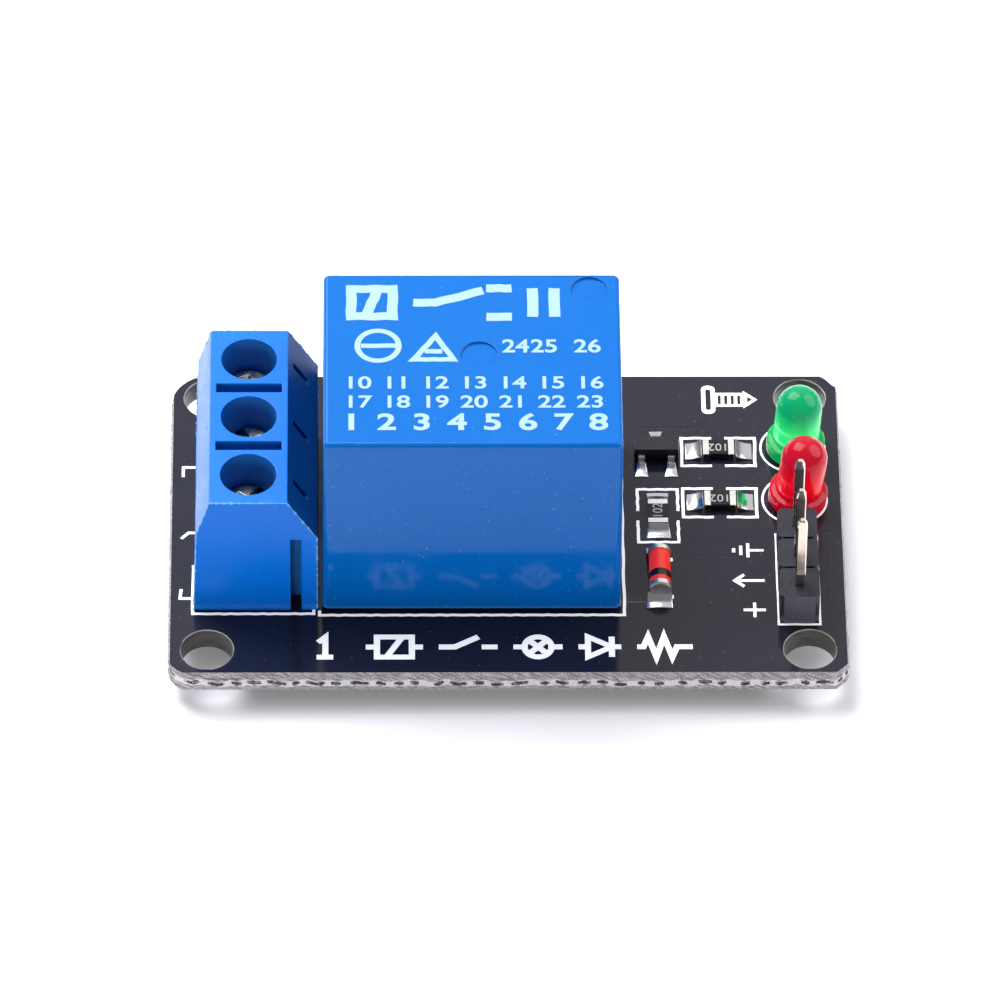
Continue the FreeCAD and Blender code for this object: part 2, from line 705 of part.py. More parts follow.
def make_relay_case():
    """Cover, base plate and the sealing layer under it."""
    middle = f"{RELAY_LENGTH}/2"
    height = value(f"{RELAY_TOP} - relay_lift")
    cover = Piece("relay_cover", RELAY_AT)
    outline = middle_loop(RELAY_LENGTH, RELAY_WIDTH, middle)
    cover.pad("XY", [outline], "relay_lift", RELAY_TOP, "relay_draft")
    cover.round(lambda edge: edge.BoundBox.ZLength > 0.95*height, "relay_corner")
    cover.round(at_height(RELAY_TOP), "relay_edge")
    inner = middle_loop(f"{RELAY_LENGTH} - 2*relay_wall", f"{RELAY_WIDTH} - 2*relay_wall", middle)
    cover.pocket("XY", [inner], "-1", f"{RELAY_TOP} - relay_wall")
    gate = ("dimple_gate_u", "dimple_gate_v", "dimple_diameter")
    vent = ("dimple_vent_u", "dimple_vent_v", "dimple_diameter")
    floor = f"({RELAY_TOP} - dimple_depth)"
    cover.pocket("XY", [gate, vent], floor, f"{RELAY_TOP} + 1")
    cover.pad("XY", [(*vent[:2], "vent_nib")], floor, f"{floor} + vent_nib_height")

    fitted = middle_loop(f"{RELAY_LENGTH} - 2*relay_wall - 2*relay_fit",
                         f"{RELAY_WIDTH} - 2*relay_wall - 2*relay_fit", middle)
    base = Piece("relay_base", RELAY_AT)
    base_top = "relay_base_low + relay_base_thickness"
    base.pad("XY", [fitted], "relay_base_low", base_top)
    openings = [pin_section(pin, "pin_clearance") for pin in RELAY_PINS]
    base.pocket("XY", openings, "relay_base_low - 1", f"{base_top} + 1")

    seal = Piece("relay_sealing_epoxy", RELAY_AT)
    seal.pad("XY", [inner], "relay_lift", "relay_base_low")
    seal.pocket("XY", [pin_section(pin) for pin in RELAY_PINS], "relay_lift - 1", "relay_base_low + 1")


def make_relay_magnet():
    """Bobbin, winding, core and yoke."""
    at_coil = (f"{RELAY_X} + {COIL_U}", "relay_y", BOARD_TOP)
    tube = "(core_diameter + 2*relay_fit + 2*bobbin_tube)"

    bobbin = Piece("relay_bobbin", at_coil)
    foot = middle_loop("bobbin_length", "2*relay_pin_v + coil_pin_diameter + 2*bobbin_foot_margin")
    head = middle_loop("bobbin_length", "bobbin_head_width")
    bobbin.pad("XY", [foot], BOBBIN_LOW, f"{BOBBIN_LOW} + bobbin_flange")
    bobbin.pad("XY", [("0", "0", tube)], BOBBIN_LOW, BOBBIN_HIGH)
    bobbin.pad("XY", [head], f"{BOBBIN_HIGH} - bobbin_flange", BOBBIN_HIGH)
    bore = ("0", "0", "core_diameter + 2*relay_fit")
    bobbin.pocket("XY", [bore], f"{BOBBIN_LOW} - 1", f"{BOBBIN_HIGH} + 1")
    posts = [(f"{COIL_PIN_U} - {COIL_U}", f"{side}relay_pin_v", "coil_pin_diameter + pin_clearance")
             for side in ("-", "")]
    bobbin.pocket("XY", posts, f"{BOBBIN_LOW} - 1", f"{BOBBIN_LOW} + bobbin_flange + relay_fit")

    coil = Piece("relay_coil", at_coil)
    low = f"{BOBBIN_LOW} + bobbin_flange + relay_fit"
    high = f"{BOBBIN_HIGH} - bobbin_flange - relay_fit"
    across = "(bobbin_length - 2*winding_margin)"
    coil.pad("XY", [("0", "0", across), ("0", "0", f"{tube} + relay_fit")], low, high)
    wide = value(across)
    coil.round(lambda edge: edge.BoundBox.XLength > 0.95*wide, "bobbin_flange/4")

    core = Piece("relay_core", at_coil)
    core.turn([
        ("0", YOKE_LOW),
        ("core_diameter/2", YOKE_LOW),
        ("core_diameter/2", f"{HINGE_Z} - core_head_height"),
        ("core_head_diameter/2", f"{HINGE_Z} - core_head_height"),
        ("core_head_diameter/2", HINGE_Z),
        ("0", HINGE_Z),
    ])

    yoke = Piece("relay_yoke", RELAY_AT)
    foot_end = f"{COIL_U} + core_diameter/2 + yoke_foot_margin"
    bent = [
        (YOKE_U, YOKE_LOW),
        (foot_end, YOKE_LOW),
        (foot_end, YOKE_FOOT_TOP),
        (f"{YOKE_U} + yoke_thickness", YOKE_FOOT_TOP),
        (f"{YOKE_U} + yoke_thickness", HINGE_Z),
        (YOKE_U, HINGE_Z),
    ]
    yoke.pad("XZ", [bent], "-yoke_width/2", "yoke_width/2")
    corner_u = value(YOKE_U)
    corner_z = value(YOKE_LOW)

    def outer_bend(edge):
        middle = edge.BoundBox.Center
        return along(edge, "y") and abs(middle.x - corner_u) + abs(middle.z - corner_z) < 0.01
    yoke.round(outer_bend, "yoke_bend")
    yoke.pocket("XY", [(COIL_U, "0", "core_diameter")], f"{YOKE_LOW} - 1", f"{YOKE_FOOT_TOP} + relay_fit")


def make_relay_armature():
    """Armature, leaf spring and moving contact, drawn closed and turned to their open rest."""
    at = (f"{RELAY_X} + {YOKE_U}", "relay_y", f"{BOARD_TOP} + {HINGE_Z}")
    opened = (FreeCAD.Vector(0, 1, 0), "-armature_angle")
    over_core = f"({COIL_U} - {YOKE_U})"
    aside = "(leaf_width/2 - rivet_diameter/2 - rivet_margin)"
    rivets = [(over_core, "-" + aside), (over_core, aside)]

    armature = Piece("relay_armature", at, opened)
    plate = box_loop("0", ARMATURE_LENGTH, "-armature_width/2", "armature_width/2")
    armature.pad("XY", [plate], "armature_gap", ARMATURE_TOP)
    stakes = [(x, y, "rivet_diameter") for x, y in rivets]
    armature.pad("XY", stakes, ARMATURE_TOP, f"{LEAF_TOP} + rivet_height")

    leaf = Piece("relay_moving_spring", at, opened)
    leg_shift = "leaf_leg*tan(armature_angle)"
    bent = [
        ("-relay_fit", ARMATURE_TOP),
        (f"-relay_fit - {leg_shift}", f"{ARMATURE_TOP} - leaf_leg"),
        (f"-relay_fit - {leg_shift} - leaf_thickness", f"{ARMATURE_TOP} - leaf_leg"),
        ("-relay_fit - leaf_thickness", LEAF_TOP),
        (ARMATURE_LENGTH, LEAF_TOP),
        (ARMATURE_LENGTH, ARMATURE_TOP),
    ]
    leaf.pad("XZ", [bent], "-leaf_width/2", "leaf_width/2")
    end = f"({CONTACT_REACH} + contact_diameter/2 + leaf_end_margin)"
    half_tip = "(contact_diameter/2 + leaf_tip_margin)"
    tongue = [
        (ARMATURE_LENGTH, "-leaf_width/2"),
        (CONTACT_REACH, f"-{half_tip}"),
        (end, f"-{half_tip}"),
        (end, half_tip),
        (CONTACT_REACH, half_tip),
        (ARMATURE_LENGTH, "leaf_width/2"),
    ]
    leaf.pad("XY", [tongue], ARMATURE_TOP, LEAF_TOP)
    holes = [(x, y, "rivet_diameter + 2*pin_clearance") for x, y in rivets]
    holes.append((CONTACT_REACH, "0", "contact_stem + pin_clearance"))
    leaf.pocket("XY", holes, f"{ARMATURE_TOP} - relay_fit", f"{LEAF_TOP} + relay_fit")

    contact_at = (f"{at[0]} + {CONTACT_REACH}*cos(armature_angle)", at[1], f"{at[2]} + {CONTACT_RISE}")
    contact = Piece("relay_moving_contact", contact_at, opened)
    contact.turn([
        ("0", f"{ARMATURE_TOP} - contact_head"),
        ("contact_diameter/2 - contact_head/2", f"{ARMATURE_TOP} - contact_head"),
        ("contact_diameter/2", f"{ARMATURE_TOP} - contact_head/2"),
        ("contact_diameter/2", ARMATURE_TOP),
        ("contact_stem/2", ARMATURE_TOP),
        ("contact_stem/2", LEAF_TOP),
        ("contact_diameter/2", LEAF_TOP),
        ("contact_diameter/2", f"{LEAF_TOP} + contact_head/2"),
        ("contact_diameter/2 - contact_head/2", f"{LEAF_TOP} + contact_head"),
        ("0", f"{LEAF_TOP} + contact_head"),
    ])


def make_relay_blade(name, side, shelf_low, head_low):
    """Fixed contact blade: pin, riser, crossbar and the shelf that holds its contact."""
    shelf_high = f"({shelf_low} + blade_thickness)"
    outer = f"{side}(relay_pin_v + blade_width/2)"
    inner = f"{side}(relay_pin_v - blade_width/2)"
    half_shelf = "(contact_diameter/2 + shelf_margin)"
    tail = f"-{side}{half_shelf}"
    upright = [
        (outer, TIP),
        (outer, shelf_high),
        (tail, shelf_high),
        (tail, f"{shelf_high} - crossbar_height"),
        (inner, f"{shelf_high} - crossbar_height"),
        (inner, TIP),
    ]
    blade = Piece(f"relay_{name}_blade", RELAY_AT)
    blade.pad("YZ", [upright], f"{BLADE_U} - blade_thickness/2", f"{BLADE_U} + blade_thickness/2")
    shelf = box_loop(f"{CONTACT_U} - {half_shelf}", f"{BLADE_U} + blade_thickness/2",
                     f"-{half_shelf}", half_shelf)
    blade.pad("XY", [shelf], shelf_low, shelf_high)
    stem = (CONTACT_U, "0", "contact_stem + pin_clearance")
    blade.pocket("XY", [stem], f"{shelf_low} - relay_fit", f"{shelf_high} + relay_fit")

    head_edge = "contact_diameter/2 - contact_head/2"
    contact = Piece(f"relay_{name}_contact", (f"{RELAY_X} + {CONTACT_U}", "relay_y", BOARD_TOP))
    if head_low:
        contact.turn([
            ("0", f"{shelf_low} - contact_head"),
            (head_edge, f"{shelf_low} - contact_head"),
            ("contact_diameter/2", f"{shelf_low} - contact_head/2"),
            ("contact_diameter/2", shelf_low),
            ("contact_stem/2", shelf_low),
            ("contact_stem/2", shelf_high),
            ("0", shelf_high),
        ])
    else:
        contact.turn([
            ("0", shelf_low),
            ("contact_stem/2", shelf_low),
            ("contact_stem/2", shelf_high),
            ("contact_diameter/2", shelf_high),
            ("contact_diameter/2", f"{shelf_high} + contact_head/2"),
            (head_edge, f"{shelf_high} + contact_head"),
            ("0", f"{shelf_high} + contact_head"),
        ])


def make_relay_contacts():
    """Both fixed blades with their contacts, the common pin and the coil pins."""
    make_relay_blade("closed", "", CLOSED_SHELF, True)
    make_relay_blade("open", "-", OPEN_SHELF, False)
    Piece("relay_common_pin", RELAY_AT).pad("XY", [pin_section("common")], TIP, YOKE_LOW)
    for side in ("front", "back"):
        pin = Piece(f"relay_coil_pin_{side}", RELAY_AT)
        post_top = f"{BOBBIN_LOW} + bobbin_flange + coil_post_height"
        pin.pad("XY", [pin_section("coil_" + side)], TIP, post_top)


def make_led(colour, x, y, lean):
    """A 3 mm light: moulded lens with its flange, and two leads that end inside it."""
    at = (x, y, BOARD_TOP)
    leads = []
    half = "led_lead/2"

    def leaning(offset, height):
        """A point beside the lead's own line at a height above the bend."""
        return (f"{offset} + ({height})*sin({lean})", f"led_lift + ({height})*cos({lean})")

    for end, side, height, reach, depth in (
            ("anode", "", "led_post_height", "led_post_reach", "led_lead"),
            ("cathode", "-", "led_cup_height", "led_cup_reach", "led_cup_depth")):
        bent = [(f"-{half}", TIP), (half, TIP), (half, "led_lift")]
        bent += [leaning(half, height), leaning(f"-{half}", height), (f"-{half}", "led_lift")]
        middle = f"{side}(led_lead_pitch/2)"
        lead = Piece(f"led_{colour}_{end}", at)
        lead.pad("XZ", [bent], f"{middle} - {half}", f"{middle} + {half}")
        anvil = [leaning(half, f"{height} - {depth}"), leaning(half, height)]
        anvil += [leaning(f"-{half}", height), leaning(f"-{half}", f"{height} - {depth}")]
        inner = f"{side}(led_lead_pitch/2 - {reach})"
        low, high = (inner, middle) if end == "anode" else (middle, inner)
        lead.pad("XZ", [anvil], low, high)
        doc.recompute()
        leads.append(lead.body)
    lens = Piece(f"led_{colour}_mould", (x, y, f"{BOARD_TOP} + led_lift"),
                 (FreeCAD.Vector(0, 1, 0), lean), part=False)
    lens.pad("XY", [("0", "0", "led_flange")], "0", "led_flange_height")
    flat = box_loop("-led_flange", "led_flange", "-led_flange", "-led_flange_flat")
    lens.pocket("XY", [flat], "-1", "led_flange_height")
    lens.pad("XY", [("0", "0", "led_diameter")], "0", "led_height")
    lens.round(at_height("led_height"), "(led_diameter - led_crown)/2")
    both = doc.addObject("Part::Fuse", f"led_{colour}_leads")
    both.Base, both.Tool = leads
    cut = doc.addObject("Part::Cut", f"led_{colour}_cut")
    cut.Base = lens.body
    cut.Tool = both
    keep(cut, f"led_{colour}_lens")


def make_header():
    """Moulded strip of three octagonal cells, and its square pins."""
    half = "header_width/2"
    reach = "header_pitch/2"
    right = []
    left = []
    for y in HEADER_ROWS.values():
        for x_side, points in (("", right), ("-", left)):
            points.append((f"{x_side}({half} - header_notch)", f"{y} - {reach}"))
            points.append((f"{x_side}({half})", f"{y} - {reach} + header_notch"))
            points.append((f"{x_side}({half})", f"{y} + {reach} - header_notch"))
    end = f"header_pitch + {reach}"
    right.append((f"{half} - header_notch", end))
    left.append((f"-({half} - header_notch)", end))
    strip = Piece("header_housing", HEADER_AT)
    strip.pad("XY", [right + left[::-1]], "0", "header_height")
    cells = [middle_loop("header_pin", "header_pin", "0", y) for y in HEADER_ROWS.values()]
    strip.pocket("XY", cells, "-1", "header_height + 1")
    square = middle_loop("header_pin", "header_pin")
    point = middle_loop("header_pin_tip", "header_pin_tip")
    for number, y in HEADER_ROWS.items():
        pin = Piece(f"header_pin_{number}", (HEADER_X, f"{HEADER_Y} + {y}", BOARD_TOP))
        pin.pad("XY", [square], f"{TIP} + header_pin_taper", "header_pin_top - header_pin_taper")
        pin.loft(square, "header_pin_top - header_pin_taper", point, "header_pin_top")
        pin.loft(square, f"{TIP} + header_pin_taper", point, TIP)


def make_resistor(name, x, y, quarter_turn, solder):
    """Chip resistor: ceramic with its coat, and the plated cap on each end."""
    axis = (FreeCAD.Vector(0, 0, 1), quarter_turn)
    low = "solder_layer"
    high = "(solder_layer + chip_height)"
    half = "chip_length/2"
    at = (x, y, BOARD_TOP)
    body = Piece(f"resistor_{name}_body", at, axis)
    body.pad("XY", [middle_loop("chip_length - 2*chip_cap_thickness", "chip_width")],
             f"{low} + chip_cap_thickness", f"{high} - chip_cap_thickness")
    coat = middle_loop("chip_length - 2*chip_cap", "chip_width - 2*chip_coat")
    body.pad("XY", [coat], f"{high} - chip_cap_thickness", f"{high} - chip_cap_thickness + chip_coat")
    caps = Piece(f"resistor_{name}_end_caps", at, axis)
    shells = []
    for side in ("-", ""):
        outer = f"{side}({half})"
        wall = f"{side}({half} - chip_cap_thickness)"
        inner = f"{side}({half} - chip_cap)"
        under = f"{high} - chip_cap_thickness"
        over = f"{low} + chip_cap_thickness"
        shells.append([(outer, low), (outer, high), (inner, high), (inner, under),
                       (wall, under), (wall, over), (inner, over), (inner, low)])
    caps.pad("XZ", shells, "-chip_width/2", "chip_width/2")
    joint = Piece(f"resistor_{name}_solder", at, axis, part=False)
    inner = f"({half} - chip_cap)"
    outer = f"({half} + chip_solder_reach)"
    wedges = []
    for side in ("-", ""):
        wedges.append([(f"{side}{inner}", "0"), (f"{side}{outer}", "0"),
                       (f"{side}({half})", "chip_solder_height"),
                       (f"{side}({half})", low), (f"{side}{inner}", low)])
    joint.pad("XZ", wedges, "-chip_width/2", "chip_width/2")
    solder.append(joint.body)


def make_diode(solder):
    """Glass diode on its side: tube, a metal slug in each end, and the die between them."""
    cap = "(diode_glass + 2*diode_cap_step)"
    bore = "(diode_glass - 2*diode_glass_wall)"
    slug_radius = f"({bore}/2 - diode_slug_clearance)"
    axis_z = f"{BOARD_TOP} + solder_layer + {cap}/2"
    lying = (FreeCAD.Vector(1, 0, 0), "-90")
    at = (SIDE_COLUMN_X, "diode_y", axis_z)
    half = "diode_length/2"
    shoulder = f"({half} - diode_cap_length)"
    glass = Piece("diode_glass", at, lying)
    glass.pad("XY", [("0", "0", "diode_glass"), ("0", "0", bore)], f"-{shoulder}", shoulder)
    for end, side in (("anode", "-"), ("cathode", "")):
        slug = Piece(f"diode_{end}", at, lying)
        slug.turn([
            ("0", f"{side}diode_die_thickness/2"),
            (slug_radius, f"{side}diode_die_thickness/2"),
            (slug_radius, f"{side}{shoulder}"),
            (f"{cap}/2", f"{side}{shoulder}"),
            (f"{cap}/2", f"{side}({half} - diode_cap_length/4)"),
            (f"{cap}/2 - diode_cap_length/4", f"{side}{half}"),
            ("0", f"{side}{half}"),
        ])
    die = Piece("diode_die", at, lying)
    square = middle_loop(slug_radius, slug_radius)
    die.pad("XY", [square], "-diode_die_thickness/2", "diode_die_thickness/2")
    joint = Piece("diode_solder", (SIDE_COLUMN_X, "diode_y", BOARD_TOP), part=False)
    wedges = []
    for side in ("-", ""):
        wedges.append([(f"{side}{shoulder}", "0"), (f"{side}({half} + diode_solder_reach)", "0"),
                       (f"{side}{half}", "diode_solder_height"), (f"{side}{half}", "solder_layer"),
                       (f"{side}{shoulder}", "solder_layer")])
    joint.pad("YZ", wedges, f"-{cap}/2", f"{cap}/2")
    solder.append(joint.body)


def make_transistor(solder):
    """Small moulded transistor with three gull wing leads."""
    at = (SIDE_COLUMN_X, "transistor_y", BOARD_TOP)
    parting = "(transistor_low + transistor_high)/2"
    outline = middle_loop("transistor_length", "transistor_width")
    step = f"({parting} - transistor_low)*tan(transistor_draft)"
    foot = middle_loop(f"transistor_length - 2*{step}", f"transistor_width - 2*{step}")
    body = Piece("transistor_body", at)
    body.pad("XY", [foot], "transistor_low", parting, "-transistor_draft")
    body.pad("XY", [outline], parting, "transistor_high", "transistor_draft")
    half = "transistor_width/2"
    low = "solder_layer"
    thick = "transistor_lead_thickness"
    joint = Piece("transistor_solder", at, part=False)
    leads = {
        "base": ("-", "-transistor_pitch/2"),
        "emitter": ("-", "transistor_pitch/2"),
        "collector": ("", "0"),
    }
    for name, (side, x) in leads.items():
        knee = f"{side}({half} + transistor_knee)"
        under = f"{side}({half} + transistor_knee - {thick})"
        toe = f"{side}({half} + transistor_reach)"
        wing = [
            (f"{side}({half})", f"{parting} + {thick}/2"),
            (knee, f"{parting} + {thick}/2"),
            (knee, f"{low} + {thick}"),
            (toe, f"{low} + {thick}"),
            (toe, low),
            (under, low),
            (under, f"{parting} - {thick}/2"),
            (f"{side}({half})", f"{parting} - {thick}/2"),
        ]
        lead = Piece(f"transistor_{name}_lead", at)
        left = f"{x} - transistor_lead_width/2"
        right = f"{x} + transistor_lead_width/2"
        lead.pad("YZ", [wing], left, right)
        far = f"{side}({half} + transistor_reach + transistor_solder_reach)"
        pool = [(under, "0"), (far, "0"), (toe, f"{low} + {thick}"), (toe, low), (under, low)]
        joint.pad("YZ", [pool], left, right)
    solder.append(joint.body)


def make_small_parts():
    """The surface parts, and the solder that holds them."""
    solder = []
    make_resistor("front", MIDDLE_COLUMN_X, "resistor_front_y", "0", solder)
    make_resistor("back", MIDDLE_COLUMN_X, "resistor_back_y", "0", solder)
    make_resistor("side", SIDE_COLUMN_X, "resistor_side_y", "90", solder)
    make_diode(solder)
    make_transistor(solder)
    compound = doc.addObject("Part::Compound", "solder_surface_joints")
    compound.Links = solder
    keep(compound, "solder_surface")


make_board()
make_solder()
make_terminal_housing()
for pole, (offset, screw_angle) in enumerate(zip(POLES.values(), ("55", "118", "20")), start=1):
    make_clamp(pole, offset)
    make_guard(pole, offset)
    make_screw(pole, offset, screw_angle)
make_relay_case()
make_relay_magnet()
make_relay_armature()
make_relay_contacts()
for colour, (led_at_x, led_at_y, led_lean) in LEDS.items():
    make_led(colour, led_at_x, led_at_y, led_lean)
make_header()
make_small_parts()
doc.recompute()

faults = []
for thing in doc.Objects:
    if any(word in state for state in thing.State for word in ("Invalid", "Error")):
        faults.append(f"{thing.Name} is {thing.State}")
for part in PARTS:
    if part.Shape.isNull() or not part.Shape.isValid() or not part.Shape.Solids:
        faults.append(f"{part.Label} has no sound shape")
if faults:
    raise RuntimeError("; ".join(faults))

os.makedirs("parts", exist_ok=True)
for part in PARTS:
    part.Shape.exportStep(os.path.join("parts", part.Label + ".step"))
    print(part.Label, len(part.Shape.Solids), round(part.Shape.Volume, 4))
print(len(PARTS), "parts")
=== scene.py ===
"""The looks of a small relay module board: a blue relay and screw terminal on a black board."""
import json
import math
import random

import bmesh
import bpy
from mathutils import Matrix, Vector


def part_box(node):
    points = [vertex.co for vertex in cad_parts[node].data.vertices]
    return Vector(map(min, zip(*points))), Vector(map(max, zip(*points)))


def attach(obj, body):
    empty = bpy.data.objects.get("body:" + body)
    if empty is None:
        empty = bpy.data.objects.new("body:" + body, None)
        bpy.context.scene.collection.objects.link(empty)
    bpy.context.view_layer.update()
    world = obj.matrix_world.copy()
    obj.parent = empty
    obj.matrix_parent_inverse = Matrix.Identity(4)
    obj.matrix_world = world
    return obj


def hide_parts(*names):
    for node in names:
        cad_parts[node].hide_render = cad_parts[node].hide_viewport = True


# Sizes and places in mm, which MM turns to metres

MM = 0.001
BOARD_TOP = 2.9
BOARD_BOTTOM = 1.3
BOARD_HOLES = [(x, y) for x in (-19.0, 19.0) for y in (-10.9, 10.9)]
RELAY_TOP = 18.07
RELAY_DIMPLES = ((5.10, 5.90), (-1.88, 0.26))
TERMINAL_MIDDLE = -0.04
HEADER_X = 18.38
HEADER_PINS = (-7.46, -4.92, -2.38)
HEADER_BREAKS = (-6.19, -3.65)
LIGHT_X = 18.55
LIGHTS = (("red", 1.75, 5.5), ("green", 6.2, 2.5))

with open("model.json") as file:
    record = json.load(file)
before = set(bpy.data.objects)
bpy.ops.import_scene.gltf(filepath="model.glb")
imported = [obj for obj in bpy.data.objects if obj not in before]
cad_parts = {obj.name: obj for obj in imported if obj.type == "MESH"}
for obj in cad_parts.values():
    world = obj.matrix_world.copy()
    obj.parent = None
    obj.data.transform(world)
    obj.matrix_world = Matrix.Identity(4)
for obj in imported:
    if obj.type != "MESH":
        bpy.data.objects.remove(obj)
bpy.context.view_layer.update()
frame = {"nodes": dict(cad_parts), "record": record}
bpy.ops.object.select_all(action="DESELECT")


# Camera, light and floor

def aim_camera():
    """The photograph's own view: from the front, 47 degrees up, a hair to the left."""
    azimuth, elevation, roll = (math.radians(angle) for angle in (-1.220, 47.049, 0.843))
    back = Vector((math.sin(azimuth) * math.cos(elevation), -math.cos(azimuth) * math.cos(elevation),
                   math.sin(elevation)))
    right = Vector((math.cos(azimuth), math.sin(azimuth), 0))
    up = back.cross(right)
    across = right * math.cos(roll) + up * math.sin(roll)
    upward = up * math.cos(roll) - right * math.sin(roll)
    aside, above, distance = -0.433, 1.43, 632.22
    aim = Vector((0, 0, BOARD_TOP)) + across * aside + upward * above
    bpy.ops.object.camera_add()
    camera = bpy.context.object
    turned = Matrix((across, upward, back)).transposed().to_4x4()
    camera.matrix_world = Matrix.Translation((aim + back * distance) * MM) @ turned
    camera.data.lens = 357.08
    camera.data.sensor_width = 36
    camera.data.clip_start = 0.01
    bpy.context.scene.camera = camera
    bpy.context.scene.view_settings.view_transform = "Standard"


def linear(code):
    """A linear colour from the hex code of the colour that the eye sees."""
    parts = [int(code[at:at + 2], 16) / 255 for at in (1, 3, 5)]
    return tuple(p / 12.92 if p <= 0.04045 else ((p + 0.055) / 1.055) ** 2.4 for p in parts) + (1,)


def add_node(tree, kind, inputs=None, **settings):
    """Add one shader node, set its plain inputs and settings, and link the sockets given to it."""
    node = tree.nodes.new(kind)
    for key, setting in settings.items():
        setattr(node, key, setting)
    for key, given in (inputs or {}).items():
        if isinstance(given, bpy.types.NodeSocket):
            tree.links.new(given, node.inputs[key])
        else:
            node.inputs[key].default_value = given
    return node


def add_math(tree, operation, *values):
    """The outcome of one Math node, from numbers and sockets."""
    return add_node(tree, "ShaderNodeMath", dict(enumerate(values)), operation=operation).outputs[0]


def add_area_light(name, place, size, power, shape="RECTANGLE", mirrored=True):
    """A soft studio light of its own size, in mm, turned to the board."""
    bpy.ops.object.light_add(type="AREA", location=Vector(place) * MM)
    light = bpy.context.object
    light.name = name
    light.rotation_euler = (-Vector(place)).to_track_quat("-Z", "Y").to_euler()
    light.data.shape = shape
    light.data.size = size[0] * MM
    light.data.size_y = size[1] * MM
    light.data.energy = power
    light.visible_glossy = mirrored


def seen_rays(tree):
    """Two sockets: 1 for rays that leave the camera or pass through glass, and 1 for mirrored rays."""
    rays = add_node(tree, "ShaderNodeLightPath").outputs
    seen = add_math(tree, "MAXIMUM", rays["Is Camera Ray"], rays["Is Transmission Ray"])
    return seen, rays["Is Glossy Ray"]


def light_studio():
    """A white backdrop, a room whose mirrored light comes from behind the board, and four soft lamps."""
    world = bpy.data.worlds.new("studio")
    bpy.context.scene.world = world
    world.use_nodes = True
    tree = world.node_tree
    tree.nodes.clear()
    seen, mirrored = seen_rays(tree)
    direction = add_node(tree, "ShaderNodeTexCoord").outputs["Generated"]
    toward = add_node(tree, "ShaderNodeVectorMath", {0: direction, 1: (0, 0.68, 0.73)},
                      operation="DOT_PRODUCT")
    glow = add_node(tree, "ShaderNodeMapRange", {"Value": toward.outputs["Value"], "From Min": 0.60,
                                                 "From Max": 0.93, "To Min": 0.30, "To Max": 1.0},
                    interpolation_type="SMOOTHSTEP")
    room = add_math(tree, "MULTIPLY", mirrored, glow.outputs["Result"])
    strength = add_math(tree, "MAXIMUM", add_math(tree, "MAXIMUM", seen, room), 0.08)
    sky = add_node(tree, "ShaderNodeBackground", {"Color": linear("#FFFFFF"), "Strength": strength})
    add_node(tree, "ShaderNodeOutputWorld", {"Surface": sky.outputs[0]})
    add_area_light("window_left", (-165, 175, 362), (300, 360), 1.68)
    add_area_light("overhead_back", (-165, 270, 345), (360, 360), 2.05, mirrored=False)
    add_area_light("soft_box_right", (296, 57, 232), (400, 400), 1.07, "DISK")
    add_area_light("card_front", (-120, -300, 75), (200, 100), 0.36, mirrored=False)


def lay_floor():
    """A plain pale table that the board stands on, white wherever nothing shades it."""
    bpy.ops.mesh.primitive_plane_add(size=6)
    floor = bpy.context.object
    floor.name = "floor"
    material = bpy.data.materials.new("matte_white_table")
    material.use_nodes = True
    tree = material.node_tree
    shader = tree.nodes["Principled BSDF"]
    shader.inputs["Base Color"].default_value = linear("#F1EFF5")
    shader.inputs["Roughness"].default_value = 0.9
    shader.inputs["Specular IOR Level"].default_value = 0.1
    seen, mirrored = seen_rays(tree)
    lift = add_math(tree, "MULTIPLY", add_math(tree, "MAXIMUM", seen, mirrored), 0.15)
    shader.inputs["Emission Color"].default_value = linear("#FFFFFF")
    tree.links.new(lift, shader.inputs["Emission Strength"])
    floor.data.materials.append(material)


# Materials

